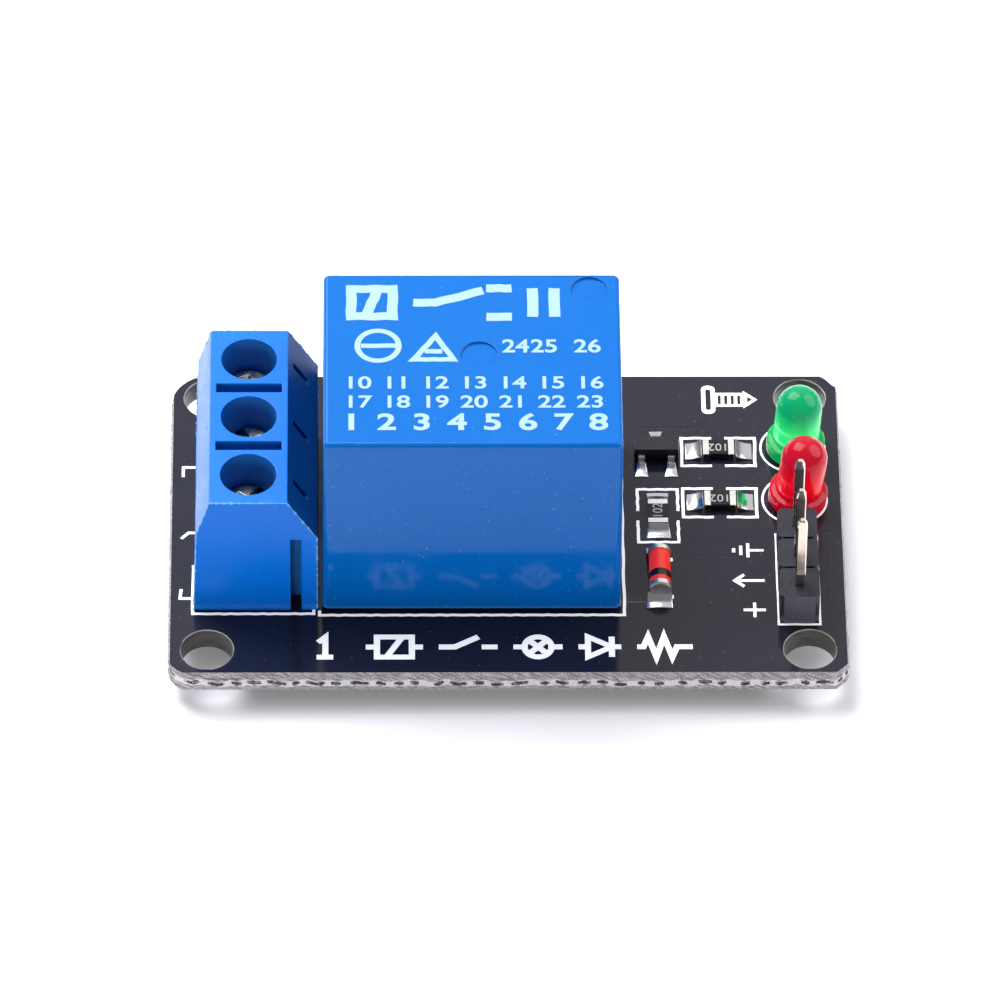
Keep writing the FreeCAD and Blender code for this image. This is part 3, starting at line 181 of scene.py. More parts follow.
class Finish:
    """A material in the making: its tree, its shader and its pattern coordinates in millimetres."""

    def __init__(self, name, colour, roughness, metallic=0.0, **inputs):
        self.material = bpy.data.materials.new(name)
        self.material.use_nodes = True
        self.tree = self.material.node_tree
        self.shader = self.tree.nodes["Principled BSDF"]
        self.set("Base Color", linear(colour))
        self.set("Roughness", roughness)
        self.set("Metallic", metallic)
        for key, given in inputs.items():
            self.set(key.replace("_", " "), given)

    def set(self, key, given):
        self.shader.inputs[key].default_value = given

    def add(self, kind, inputs=None, **settings):
        return add_node(self.tree, kind, inputs, **settings)

    def compute(self, operation, *values):
        return add_math(self.tree, operation, *values)

    def place(self, scale=(1, 1, 1)):
        """Object coordinates in mm, stretched where the scale says so."""
        coordinates = self.add("ShaderNodeTexCoord")
        scaled = self.add("ShaderNodeVectorMath", {0: coordinates.outputs["Object"],
                                                   1: tuple(1000 * s for s in scale)}, operation="MULTIPLY")
        return scaled.outputs[0]

    def noise(self, size, detail=2.0, scale=(1, 1, 1)):
        """Noise whose lumps are about this many mm across, from 0 to 1."""
        pattern = self.add("ShaderNodeTexNoise", {"Vector": self.place(scale), "Scale": 1 / size,
                                                  "Detail": detail})
        return pattern.outputs["Fac"]

    def spread(self, fac, low, high, start=0.35, end=0.65):
        """The value spread from low to high as the pattern goes from start to end."""
        node = self.add("ShaderNodeMapRange", {"Value": fac, "From Min": start, "From Max": end,
                                               "To Min": low, "To Max": high})
        return node.outputs["Result"]

    def mix(self, fac, first, second):
        """A colour between two."""
        node = self.add("ShaderNodeMix", data_type="RGBA")
        for socket, given in ((node.inputs[0], fac), (node.inputs[6], first), (node.inputs[7], second)):
            if isinstance(given, bpy.types.NodeSocket):
                self.tree.links.new(given, socket)
            else:
                socket.default_value = linear(given) if isinstance(given, str) else given
        return node.outputs[2]

    def link(self, output, key):
        self.tree.links.new(output, self.shader.inputs[key])

    def bump(self, height, depth):
        """Relief of this depth in mm."""
        node = self.add("ShaderNodeBump", {"Height": height, "Strength": 1.0, "Distance": depth * MM})
        self.link(node.outputs["Normal"], "Normal")


def make_solder_mask():
    """Cured solder mask: a black gloss that mirrors the room, faintly rippled by the weave, with dust."""
    mask = Finish("black_solder_mask", "#1F1F2C", 0.11, IOR=1.5)
    mask.set("Specular IOR Level", 0.38)
    ripple = mask.noise(2.2, 3.0)
    dust = mask.spread(mask.noise(0.22, 1.0), 0.0, 1.0, 0.74, 0.80)
    mask.link(mask.mix(dust, "#1F1F2C", "#55555F"), "Base Color")
    mask.link(mask.spread(ripple, 0.08, 0.14), "Roughness")
    mask.bump(ripple, 0.003)
    return mask.material


def make_laminate():
    """Snapped glass-fibre laminate: pale yarn ends in a row with dark broken dashes, slanted fibres above."""
    edge = Finish("snapped_glass_laminate", "#A39D98", 0.6, IOR=1.5)
    place = edge.add("ShaderNodeSeparateXYZ", {0: edge.place()})
    level = place.outputs[2]
    along = edge.compute("MULTIPLY_ADD", place.outputs[1], 1.6, place.outputs[0])

    def strands(long, high, detail, slant=0.0):
        """Noise of strands so long along the edge and so high, in mm, leaning by the slant."""
        leant = edge.compute("MULTIPLY_ADD", level, slant, along)
        at = edge.add("ShaderNodeCombineXYZ", {0: leant, 1: level})
        scaled = edge.add("ShaderNodeVectorMath", {0: at.outputs[0], 1: (1 / long, 1 / high, 1)},
                          operation="MULTIPLY")
        return edge.add("ShaderNodeTexNoise", {"Vector": scaled.outputs[0], "Scale": 1.0,
                                               "Detail": detail}).outputs["Fac"]

    def row(height, half, soft):
        """1 within half a width of a wavering height, 0 outside."""
        wave = edge.compute("MULTIPLY_ADD", strands(1.1, 9.0, 1.0), -0.8, level)
        distance = edge.compute("ABSOLUTE", edge.compute("SUBTRACT", wave, height - 0.40))
        return edge.spread(distance, 1.0, 0.0, half, half + soft)

    speckle = strands(0.09, 0.07, 3.0)
    fibres = strands(0.30, 0.36, 3.0, 1.6)
    tone = edge.mix(edge.spread(fibres, 0.0, 1.0, 0.38, 0.60), "#86828A", "#D6D3D8")
    tone = edge.mix(edge.spread(speckle, 0.0, 0.7, 0.44, 0.60), tone, "#5A5551")
    drift = edge.compute("MULTIPLY", strands(1.5, 9.0, 2.0), 11.0)
    weave = edge.compute("SINE", edge.compute("MULTIPLY_ADD", along, 4.9, drift))
    bundle = edge.compute("MULTIPLY", edge.spread(weave, 1.0, 0.0, 0.55, 0.95), row(2.02, 0.22, 0.08))
    pale = edge.mix(bundle, tone, "#EEEBEC")
    pale = edge.mix(edge.spread(speckle, 0.0, 0.5, 0.50, 0.60), pale, "#8A8480")
    broken = edge.compute("MULTIPLY", edge.spread(weave, 0.0, 1.0, -0.5, 0.0),
                          edge.spread(strands(0.42, 0.10, 2.0), 0.0, 1.0, 0.36, 0.44))
    dash = edge.compute("MULTIPLY", broken, row(2.04, 0.10, 0.07))
    edge.link(edge.mix(dash, pale, "#302A28"), "Base Color")
    edge.bump(edge.compute("ADD", speckle, edge.compute("SUBTRACT", bundle, dash)), 0.04)
    return edge.material


def make_drilled_wall(name, low, high):
    """The wall of a drilled hole: smooth cut laminate, grey beige, with a slight polish from the drill."""
    wall = Finish(name, low, 0.34, IOR=1.5)
    rings = wall.noise(0.25, 2.0, (0.3, 0.3, 3.0))
    wall.link(wall.mix(wall.spread(rings, 0.0, 1.0), low, high), "Base Color")
    wall.bump(rings, 0.01)
    return wall.material


def make_print_ink(name, colour, roughness, glow=0.0):
    """Screen-printed ink: opaque and slightly rough; the glow is painted light, an emission that keeps a
    bright ink bright where it lies in shade.
    """
    ink = Finish(name, colour, roughness, IOR=1.5)
    ink.set("Emission Color", linear(colour))
    ink.set("Emission Strength", glow)
    ink.bump(ink.noise(0.15, 2.0), 0.006)
    return ink.material


def make_moulded(name, colour, roughness, grain=0.004, lump=3.0, mirror=0.5, dusty=False):
    """Moulded plastic: even colour, a soft gloss with slight flow marks; mirror is its surface reflection."""
    plastic = Finish(name, colour, roughness, IOR=1.5)
    plastic.set("Specular IOR Level", mirror)
    if dusty:
        specks = plastic.spread(plastic.noise(0.16, 1.0), 0.0, 0.8, 0.745, 0.80)
        plastic.link(plastic.mix(specks, colour, "#7FA8CC"), "Base Color")
    flow = plastic.noise(4.0, 3.0)
    plastic.link(plastic.spread(flow, roughness - 0.03, roughness + 0.04), "Roughness")
    plastic.bump(plastic.noise(lump, 2.0), grain)
    return plastic.material


def make_metal(name, colour, roughness, relief=0.004, lump=0.3):
    """Bare or plated metal: its own colour in the mirror, with fine working marks."""
    metal = Finish(name, colour, roughness, metallic=1.0)
    marks = metal.noise(lump, 3.0)
    metal.link(metal.spread(marks, roughness - 0.06, roughness + 0.08), "Roughness")
    metal.bump(marks, relief)
    return metal.material


def make_lens(name, low, middle, high, arc, glow):
    """Diffused epoxy of a status light: glossy skin, milky colour with painted shade by height, two painted
    arcs of light on its left side for the cup inside, and a painted glow.
    """
    lens = Finish(name, middle, 0.07, IOR=1.5)
    lens.set("Subsurface Weight", 1.0)
    lens.set("Subsurface Radius", (1.0, 1.0, 1.0))
    lens.set("Subsurface Scale", 0.8 * MM)
    place = lens.add("ShaderNodeSeparateXYZ", {0: lens.place()})
    height = place.outputs[2]
    # Painted shade by height: darker at the flange and at the top of the dome, brightest between
    lower = lens.mix(lens.spread(height, 0.0, 1.0, 4.1, 5.2), low, middle)
    tone = lens.mix(lens.spread(height, 0.0, 1.0, 5.6, 7.4), lower, high)
    # Two painted arcs of light on the left side, standing for the light the cup inside sends back
    side = lens.spread(place.outputs[0], 0.75, 0.0, 17.5, 18.6)
    for level in (4.75, 5.75):
        distance = lens.compute("ABSOLUTE", lens.compute("SUBTRACT", height, level))
        painted_arc = lens.spread(distance, 1.0, 0.0, 0.06, 0.22)
        tone = lens.mix(lens.compute("MULTIPLY", painted_arc, side), tone, arc)
    lens.set("Specular IOR Level", 0.25)
    # Base darkened and the same tone given as emission: a painted glow that brightens the milky colour
    lens.link(lens.mix(0.45, tone, "#000000"), "Base Color")
    lens.link(tone, "Emission Color")
    lens.set("Emission Strength", glow)
    return lens.material


def make_tinted_glass():
    """Orange red tinted glass of the diode's tube, lightened by a painted glow."""
    glass = Finish("tinted_glass", "#F2382C", 0.05, IOR=1.5)
    glass.set("Transmission Weight", 0.2)
    glass.set("Emission Color", linear("#F2382C"))
    glass.set("Emission Strength", 0.22)
    return glass.material


MATERIALS = {
    # Lacquer over the copper: near black, mirrors the room
    "board_mask": make_solder_mask(),
    # Solder that has flowed: a clean mirror with soft dents
    "solder": make_metal("tin_solder", "#C4C4CA", 0.13, 0.002, 0.6),
    # Moulded polyamide: an even strong blue, softly glossy, with some dust
    "terminal_plastic": make_moulded("blue_terminal_plastic", "#0072E0", 0.28, 0.003, 0.6, 0.22, dusty=True),
    # Folded plated sheet: grey with a soft shine
    "clamp_metal": make_metal("plated_clamp_steel", "#A9A49A", 0.32),
    # Tumbled and zinc plated: bright and a little warm
    "screw_metal": make_metal("zinc_plated_screw_steel", "#DDD6BE", 0.28, 0.004, 0.5),
    # Moulded against polished steel: a clear gloss that mirrors the board
    "relay_plastic": make_moulded("blue_relay_case_plastic", "#0066BE", 0.11, 0.003, 1.2, 0.24, dusty=True),
    # Moulded with glass fibre: matt black
    "relay_base_plastic": make_moulded("black_relay_base_plastic", "#1C1D20", 0.5, 0.01, 0.4),
    # Poured: brown and glossy
    "sealing_epoxy": make_moulded("clear_brown_sealing_epoxy", "#4A3A28", 0.18),
    # Moulded without pigment: matt ivory
    "bobbin_plastic": make_moulded("natural_bobbin_plastic", "#D9D4C8", 0.45),
    # Wound: warm metal with the ridges of its turns
    "enamelled_wire": make_metal("enamelled_copper_wire", "#A85A2C", 0.35, 0.02, 0.12),
    # Pressed and plated: dull grey
    "soft_iron": make_metal("plated_soft_iron", "#8C8B88", 0.38),
    # Rolled strip: brown gold
    "spring_bronze": make_metal("spring_bronze", "#B98A4E", 0.30),
    # Headed rivets: pale and softly bright
    "contact_silver": make_metal("contact_silver", "#D9D6CE", 0.28),
    # Dipped in tin: bright with soft ripples
    "tinned_copper": make_metal("tinned_copper_lead", "#CBC8C2", 0.26, 0.002, 0.4),
    # Cast with pigment: milky, with painted light in it: a glow, lighter arcs, and shade by height
    "led_red_epoxy": make_lens("red_diffused_epoxy", "#B80022", "#F80620", "#C40C2A", "#FF3048", 0.52),
    "led_green_epoxy": make_lens("green_diffused_epoxy", "#129446", "#2AF07C", "#0A9C63", "#7CFFB0", 0.75),
    # Moulded nylon, scuffed: black with a fine dull grain
    "header_plastic": make_moulded("black_header_nylon", "#282932", 0.42, 0.04, 0.4, 0.26),
    # Thin plating on drawn wire: a pale warm mirror
    "gold_plate": make_metal("pale_gold_plated_pin", "#E8DACB", 0.14, 0.0005, 1.5),
    # Glaze fired on ceramic: shiny black
    "chip_ceramic": make_moulded("black_chip_glaze", "#151518", 0.22, 0.006, 0.3, 0.3),
    # Barrel plated: pale satin
    "tin_plate": make_metal("matte_tin_plate", "#D3CFCB", 0.34, 0.002, 0.3),
    # Drawn glass, sealed by heat: a sharp gloss over clear colour, with a painted glow
    "diode_tube": make_tinted_glass(),
    # Sawn from a wafer: grey satin
    "silicon": make_metal("silicon_die", "#3A3C42", 0.30),
    # Moulded with mineral filler: black with a dull sheen
    "transistor_plastic": make_moulded("black_transistor_epoxy", "#16151B", 0.36, 0.01, 0.3, 0.34),
}
# Laminate where it was snapped, drilled and broken at the rims: fibrous, then smooth and dark, then pale
LAMINATE = make_laminate()
DRILLED = make_drilled_wall("drilled_laminate", "#4C4847", "#66615F")
RIM = make_drilled_wall("bare_hole_rim", "#8C8784", "#B4AFAB")
# Printed through a screen: flat, opaque colour, each ink with a painted glow that lifts it in shade,
# strongest on the white
SILK = make_print_ink("white_board_ink", "#EFEFF0", 0.45, 0.49)
RELAY_INK = make_print_ink("pale_blue_case_ink", "#96BAD4", 0.42, 0.1)
CHIP_INK = make_print_ink("grey_chip_ink", "#A9A9AE", 0.45, 0.04)
# Thin flash of the blue plastic, left by the cut, painted paler than the body as a highlight along the edges
BURR = make_moulded("cut_flash_painted_highlight", "#6CB4F2", 0.5, 0.02, 0.15)
# The same plastic painted duller and darker as shade: on the slope that faces the relay, and on the walls of
# the wells, slots and lock groove
SHADED_SLOPE_BLUE = make_moulded("painted_shade_slope_blue_plastic", "#0E4A84", 0.45, 0.01, 0.4, 0.2)
SHADED_RECESS_BLUE = make_moulded("painted_shade_recess_blue_plastic", "#2476BE", 0.3, 0.004, 0.6, 0.22)
# Black nylon scored in the mould and torn off: the line painted dark as the shade in its groove; the torn end
# painted grey, partly the torn nylon's own grey and partly painted light on that face
GROOVE_SHADE = make_moulded("painted_shade_nylon_break_line", "#17171C", 0.7, 0.03, 0.2, 0.08)
SNAPPED = make_moulded("snapped_nylon_end_painted_light", "#50515C", 0.5, 0.06, 0.2)
# Pin plating painted darker grey on one face, as the dark reflection that face shows
PIN_FACE_SHADE = make_metal("pin_face_painted_dark_reflection", "#6E6A69", 0.30, 0.001, 0.8)
# Enamel fired on the glass: black and glossy
BAND_INK = make_print_ink("black_glass_band", "#0C0B0D", 0.2)


def dress_nodes():
    """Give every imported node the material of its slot."""
    for part in frame["record"]["subparts"]:
        node = frame["nodes"][part["node"]]
        for slot in node.material_slots:
            slot.material = MATERIALS[part["material_slot"]]


# Modelling helpers

def pick(piece):
    """Make this piece the only selected one, and the active one."""
    bpy.ops.object.select_all(action="DESELECT")
    piece.select_set(True)
    bpy.context.view_layer.objects.active = piece


def edit(piece):
    """Pick this piece and enter edit mode."""
    pick(piece)
    bpy.ops.object.mode_set(mode="EDIT")
    bpy.ops.mesh.select_mode(type="FACE")


def select(piece, kind, chosen):
    """Select the faces, edges or verts of the edited mesh that the test chooses."""
    bpy.ops.mesh.select_mode(type={"faces": "FACE", "edges": "EDGE", "verts": "VERT"}[kind])
    bpy.ops.mesh.select_all(action="DESELECT")
    mesh = bmesh.from_edit_mesh(piece.data)
    for element in getattr(mesh, kind):
        if chosen(element):
            element.select_set(True)
    mesh.select_flush_mode()
    bmesh.update_edit_mesh(piece.data)


def paint(piece, material, chosen):
    """Give the chosen faces of the edited mesh a further material."""
    piece.data.materials.append(material)
    piece.active_material_index = len(piece.data.materials) - 1
    select(piece, "faces", chosen)
    bpy.ops.object.material_slot_assign()


def finish_piece(piece, body, material=None, replaced=(), smooth=None):
    """Leave edit mode, smooth and dress the piece, and let it ride on its body."""
    if piece.mode == "EDIT":
        bpy.ops.object.mode_set(mode="OBJECT")
    if smooth:
        pick(piece)
        bpy.ops.object.shade_smooth_by_angle(angle=math.radians(smooth))
        modifier = piece.modifiers.new("even", "WEIGHTED_NORMAL")
        modifier.keep_sharp = True
        bpy.ops.object.modifier_apply(modifier="even")
    if material:
        piece.data.materials.clear()
        piece.data.materials.append(material)
    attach(piece, body)
    if replaced:
        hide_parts(*replaced)


def add_object(name, data):
    """A new object of this mesh or curve in the scene."""
    piece = bpy.data.objects.new(name, data)
    bpy.context.collection.objects.link(piece)
    return piece


def copy_node(name, node, flat=True):
    """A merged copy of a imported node's mesh, as a new piece in edit mode, its flats made whole."""
    piece = add_object(name, frame["nodes"][node].data.copy())
    edit(piece)
    bpy.ops.mesh.select_all(action="SELECT")
    bpy.ops.mesh.remove_doubles(threshold=0.002 * MM)
    bpy.ops.mesh.customdata_custom_splitnormals_clear()
    if flat:
        bpy.ops.mesh.dissolve_limited(angle_limit=math.radians(1.0))
    return piece


def bevel_edges(piece, width, segments=2, angle=30):
    """Round every sharp edge of the piece a little."""
    if piece.mode == "EDIT":
        bpy.ops.object.mode_set(mode="OBJECT")
    modifier = piece.modifiers.new("edge", "BEVEL")
    modifier.width = width * MM
    modifier.segments = segments
    modifier.limit_method = "ANGLE"
    modifier.angle_limit = math.radians(angle)
    modifier.use_clamp_overlap = True
    bpy.context.view_layer.objects.active = piece
    bpy.ops.object.modifier_apply(modifier=modifier.name)


def unsteady(points, closed, wobble):
    """The path with a point every 0.4 mm, each a hair off its line, as screen-printed edges are."""
    ends = points[1:] + points[:1] if closed else points[1:]
    steps = []
    for (x0, y0), (x1, y1) in zip(points, ends):
        length = math.hypot(x1 - x0, y1 - y0)
        count = max(1, round(length / 0.4))
        for i in range(count):
            x, y = x0 + (x1 - x0) * i / count, y0 + (y1 - y0) * i / count
            off = wobble * math.sin(37.7 * x + 91.3 * y) if i else 0
            steps.append((x - off * (y1 - y0) / length, y + off * (x1 - x0) / length))
    return steps if closed else steps + [points[-1]]


def add_path(curve, points, closed=True):
    """A path of straight steps on the curve, through points in mm."""
    path = curve.splines.new("POLY")
    path.points.add(len(points) - 1)
    for point, (x, y) in zip(path.points, points):
        point.co = (x * MM, y * MM, 0, 1)
    path.use_cyclic_u = closed
    return path


def draw_lines(name, lines, width, level, thickness=0.02, wobble=0.0):
    """Printed lines: each a path (points, closed) in mm on a level, with square-cut section."""
    profile = bpy.data.curves.new(f"{name}_section", "CURVE")
    corners = ((-0.5, -0.2), (0.5, -0.2), (0.5, 1), (-0.5, 1))
    add_path(profile, [(x * width, y * thickness) for x, y in corners])
    section = add_object(profile.name, profile)
    curve = bpy.data.curves.new(name, "CURVE")
    curve.dimensions = "2D"
    curve.bevel_mode = "OBJECT"
    curve.bevel_object = section
    curve.use_fill_caps = True
    for number, (points, closed) in enumerate(lines):
        path = add_path(curve, unsteady(points, closed, wobble) if wobble else points, closed)
        path.use_smooth = False
        for point in path.points:
            point.radius = 1 + 0.013 * (number % 7)
    piece = add_object(name, curve)
    piece.location = (0, 0, level * MM)
    return to_mesh(piece, section)


def to_mesh(piece, *leftovers):
    """Turn a curve or text into a mesh, with its place in its points."""
    pick(piece)
    bpy.ops.object.convert(target="MESH")
    bpy.ops.object.transform_apply()
    for leftover in leftovers:
        bpy.data.objects.remove(leftover)
    return bpy.context.object


def fill_shapes(name, outlines, level, thickness=0.02):
    """Printed areas with their holes, each outline a list of points in mm."""
    curve = bpy.data.curves.new(name, "CURVE")
    curve.dimensions = "2D"
    curve.fill_mode = "BOTH"
    curve.extrude = thickness / 2 * MM
    for points in outlines:
        add_path(curve, points)
    piece = add_object(name, curve)
    piece.location = (0, 0, (level + thickness / 2) * MM)
    return to_mesh(piece)


def write_number(name, number, x, y, level, height, turn=0.0, stretch=1.0, bold=0.0, thickness=0.02):
    """A plain number in mm, its middle at x, y."""
    bpy.ops.object.text_add(location=(x * MM, y * MM, (level + thickness / 2) * MM),
                            rotation=(0, 0, math.radians(turn)))
    text = bpy.context.object
    text.name = name
    text.data.body = number
    text.data.size = height / 0.7 * MM
    text.data.offset = bold * MM
    text.data.align_x = "CENTER"
    text.data.align_y = "CENTER"
    text.data.extrude = thickness / 2 * MM
    text.scale = (stretch, 1, 1)
    return to_mesh(text)


def join(name, pieces):
    """Several meshes joined into one piece."""
    bpy.ops.object.select_all(action="DESELECT")
    for piece in pieces:
        piece.select_set(True)
    bpy.context.view_layer.objects.active = pieces[0]
    bpy.ops.object.join()
    joined = bpy.context.object
    joined.name = name
    return joined


def arc(x, y, radius, start, end, steps=24):
    """Points of a circular arc, degrees from +X."""
    angles = [math.radians(start + (end - start) * i / steps) for i in range(steps + 1)]
    return [(x + radius * math.cos(a), y + radius * math.sin(a)) for a in angles]


def rounded_box(x0, y0, x1, y1, radius):
    """A rectangle with round corners."""
    corners = ((x1 - radius, y1 - radius, 0), (x0 + radius, y1 - radius, 90),
               (x0 + radius, y0 + radius, 180), (x1 - radius, y0 + radius, 270))
    return [point for x, y, turn in corners for point in arc(x, y, radius, turn, turn + 90, 6)]


def box_path(x0, y0, x1, y1):
    """The four corners of a rectangle."""
    return [(x0, y0), (x1, y0), (x1, y1), (x0, y1)]


# The board

def build_board():
    """The laminate: scored and snapped edges, bare rims at the holes, glossy mask above and below."""
    board = copy_node("board", "circuit_board", flat=False)
    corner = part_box("circuit_board")[1]
    margin, hole_reach, score_depth, sink = 2.9, 1.9, 0.5, 0.04
    select(board, "faces", lambda f: abs(f.normal.z) < 0.5)
    bpy.ops.mesh.dissolve_limited(angle_limit=math.radians(1.0))
    for level in (BOARD_BOTTOM + score_depth + 0.02, BOARD_TOP - score_depth):
        bpy.ops.mesh.select_all(action="SELECT")
        bpy.ops.mesh.bisect(plane_co=(0, 0, level * MM), plane_no=(0, 0, 1))

    def on_outline(point):
        return abs(point.x) > corner.x - margin * MM or abs(point.y) > corner.y - margin * MM

    def in_hole(point):
        return any(math.hypot(point.x - x * MM, point.y - y * MM) < hole_reach * MM for x, y in BOARD_HOLES)

    def outer_edge(edge):
        first, second = (v.co for v in edge.verts)
        along = (first - second).length > 5 * MM and abs(first.z - second.z) < 0.01 * MM
        return along and on_outline(first) and on_outline(second)

    for side, cuts in ((0, 90), (1, 54)):
        select(board, "edges", lambda edge: outer_edge(edge)
               and abs(edge.verts[0].co[side] - edge.verts[1].co[side]) > 5 * MM)
        bpy.ops.mesh.subdivide_edgering(number_cuts=cuts, interpolation="LINEAR")
    web_low, web_high = BOARD_BOTTOM + score_depth, BOARD_TOP - score_depth + 0.02
    select(board, "verts", lambda v: web_low * MM < v.co.z < web_high * MM
           and on_outline(v.co) and not in_hole(v.co))
    bpy.ops.transform.resize(value=(1 - sink * MM / corner.x, 1 - sink * MM / corner.y, 1),
                             center_override=(0, 0, 0))
    bpy.ops.transform.vertex_random(offset=sink * MM, uniform=1.0, normal=0.0, seed=3)

    def hole_rim(edge):
        ends = [v.co for v in edge.verts]
        faces = [f.normal.z for f in edge.link_faces]
        return (all(in_hole(p) and min(abs(p.z - BOARD_TOP * MM), abs(p.z - BOARD_BOTTOM * MM)) < 0.01 * MM
                    for p in ends) and len(faces) == 2 and abs(abs(faces[0]) - abs(faces[1])) > 0.5)

    select(board, "edges", hole_rim)
    bpy.ops.mesh.bevel(offset=0.06 * MM, segments=1)
    board.data.materials.clear()
    board.data.materials.append(MATERIALS["board_mask"])
    paint(board, LAMINATE, lambda f: abs(f.normal.z) < 0.95 and on_outline(f.calc_center_median()))
    paint(board, DRILLED, lambda f: abs(f.normal.z) < 0.3 and in_hole(f.calc_center_median()))
    paint(board, RIM, lambda f: 0.3 < abs(f.normal.z) < 0.95 and in_hole(f.calc_center_median()))
    finish_piece(board, "module", replaced=["circuit_board"])


def print_outlines():
    """The outlines of the terminal, the relay, the surface parts, the lights and the header."""
    thin, fine = [], []
    thin.append(([(-12.28, -7.45), (-12.28, -7.86), (-19.93, -7.86), (-19.93, -3.7)], False))
    thin.append(([(-19.7, 7.6), (-12.5, 7.6)], False))
    thin.append(([(-11.92, -7.6), (-11.92, -7.98), (7.36, -7.98), (7.36, 7.8), (-11.4, 7.8)], False))
    fine.append((box_path(17.1, -8.81, 19.72, -1.07), True))
    for y in (1.9, 6.4):
        fine.append((arc(18.41, y + 0.05, 2.06, 0, 360, 48)[:-1], True))
    gap = 0.42
    for x0, y0, x1, y1 in ((11.28, 4.92, 15.98, 7.35), (11.28, 0.44, 15.98, 2.92)):
        middle = (x0 + x1) / 2
        thin.append(([(middle - gap, y0), (x0, y0), (x0, y1), (middle - gap, y1)], False))
        thin.append(([(middle + gap, y0), (x1, y0), (x1, y1), (middle + gap, y1)], False))
    middle = 0.56
    for y in (-1.73, 2.85):
        end = middle + math.copysign(gap, y - middle)
        thin.append(([(8.37, end), (8.37, y), (10.93, y), (10.93, end)], False))
    # Hooks by the three wire entries
    thin.append(([(-19.8, 4.81), (-20.65, 4.81), (-20.65, 3.97)], False))
    thin.append(([(-19.8, -0.9), (-20.26, -0.89), (-20.73, -1.39)], False))
    thin.append(([(-19.8, -6.54), (-20.74, -6.54), (-20.68, -5.75)], False))
    return [draw_lines("outlines", thin, 0.19, BOARD_TOP, wobble=0.022),
            draw_lines("rings", fine, 0.14, BOARD_TOP, wobble=0.01)]


def print_pin_signs():
    """A ground sign, an arrow into a pin and a plus, by the three header pins."""
    ground = [([(16.3, -2.45), (15.3, -2.45)], False), ([(15.3, -3.05), (15.3, -1.85)], False),
              ([(14.85, -2.85), (14.85, -2.05)], False), ([(14.4, -2.62), (14.4, -2.28)], False)]
    arrow = [([(16.3, -5.05), (14.4, -5.05)], False), ([(15.0, -5.55), (14.4, -5.05), (15.0, -4.55)], False)]
    plus = [([(16.3, -7.57), (14.9, -7.57)], False), ([(15.6, -8.19), (15.6, -6.95)], False)]
    return draw_lines("pin_signs", ground + arrow + plus, 0.2, BOARD_TOP)


def print_title():
    """A plain 1, then the signs of a coil, a contact, a lamp, a diode and a resistor."""
    low, high, mid = -11.55, -9.85, -10.7
    one = [([(-12.0, high - 0.45), (-11.55, high), (-11.55, low)], False),
           ([(-12.1, low), (-11.05, low)], False)]
    coil = [(box_path(-8.3, low, -6.1, high), True), ([(-7.7, low), (-6.7, high)], False),
            ([(-9.0, mid), (-8.3, mid)], False), ([(-6.1, mid), (-5.4, mid)], False)]
    contact = [([(-4.4, mid), (-3.4, mid), (-1.9, high)], False), ([(-1.7, mid), (-0.7, mid)], False)]
    lamp = [([(0.3, mid), (1.0, mid)], False), (arc(1.85, mid, 0.85, 0, 360, 28)[:-1], True),
            ([(1.25, mid - 0.6), (2.45, mid + 0.6)], False), ([(1.25, mid + 0.6), (2.45, mid - 0.6)], False),
            ([(2.7, mid), (3.4, mid)], False)]
    diode = [([(4.4, mid), (5.0, mid)], False), ([(5.0, low), (5.0, high), (6.5, mid)], True),
             ([(6.5, low), (6.5, high)], False), ([(6.5, mid), (7.1, mid)], False)]
    resistor = [([(8.1, mid), (8.5, mid), (8.8, high), (9.3, low), (9.8, high), (10.3, low), (10.6, mid),
                  (11.6, mid)], False)]
    return draw_lines("title", one + coil + contact + lamp + diode + resistor, 0.38, BOARD_TOP)


def print_screw_sign():
    """A screw lying on its side: head, threaded shank and tip."""
    head = [rounded_box(12.66, 9.52, 13.55, 12.0, 0.36), rounded_box(12.93, 9.84, 13.27, 11.68, 0.15)]
    shank = [box_path(13.5, 10.14, 15.4, 11.36)]
    shank += [box_path(x, 10.36, x + 0.2, 11.14) for x in (13.72, 14.14, 14.56, 14.98)]
    tip = [[(15.35, 9.98), (15.35, 11.54), (16.28, 10.76)], [(15.62, 10.5), (15.62, 11.02), (15.95, 10.76)]]
    # Each a hair above the last, so that no two tops lie in one plane
    return join("screw_sign", [fill_shapes("screw_head_sign", head, BOARD_TOP),
                               fill_shapes("screw_shank_sign", shank, BOARD_TOP + 0.001),
                               fill_shapes("screw_tip_sign", tip, BOARD_TOP + 0.002)])


def build_board_print():
    """The white print on the board."""
    prints = print_outlines() + [print_pin_signs(), print_title(), print_screw_sign()]
    pads = [box_path(10.12, -6.6, 10.5, -6.3), box_path(10.12, -3.4, 10.5, -3.1)]
    prints.append(fill_shapes("pads", pads, BOARD_TOP))
    finish_piece(join("board_print", prints), "module", SILK)


def build_tracks():
    """Copper tracks that stand out a little under the mask."""
    tracks = [([(10.1, -1.1), (17.0, -1.1)], False),
              ([(10.5, -3.4), (11.18, -2.58), (13.6, -2.58), (16.6, -2.58)], False),
              ([(7.2, -6.7), (8.75, -6.7)], False),
              ([(11.6, 4.58), (14.5, 4.42), (15.6, 3.35), (16.8, 3.35)], False),
              ([(20.62, 2.0), (20.45, -6.8)], False),
              ([(8.4, 8.6), (12.2, 8.6), (12.9, 9.3)], False)]
    relief = draw_lines("tracks", tracks, 0.42, BOARD_TOP - 0.02, 0.032)
    edit(relief)
    select(relief, "edges", lambda edge: all(v.co.z > (BOARD_TOP + 0.005) * MM for v in edge.verts)
           and len(edge.link_faces) == 2 and edge.calc_face_angle(0) > 0.8)
    bpy.ops.mesh.bevel(offset=0.015 * MM, segments=2)
    finish_piece(relief, "module", MATERIALS["board_mask"], smooth=30)


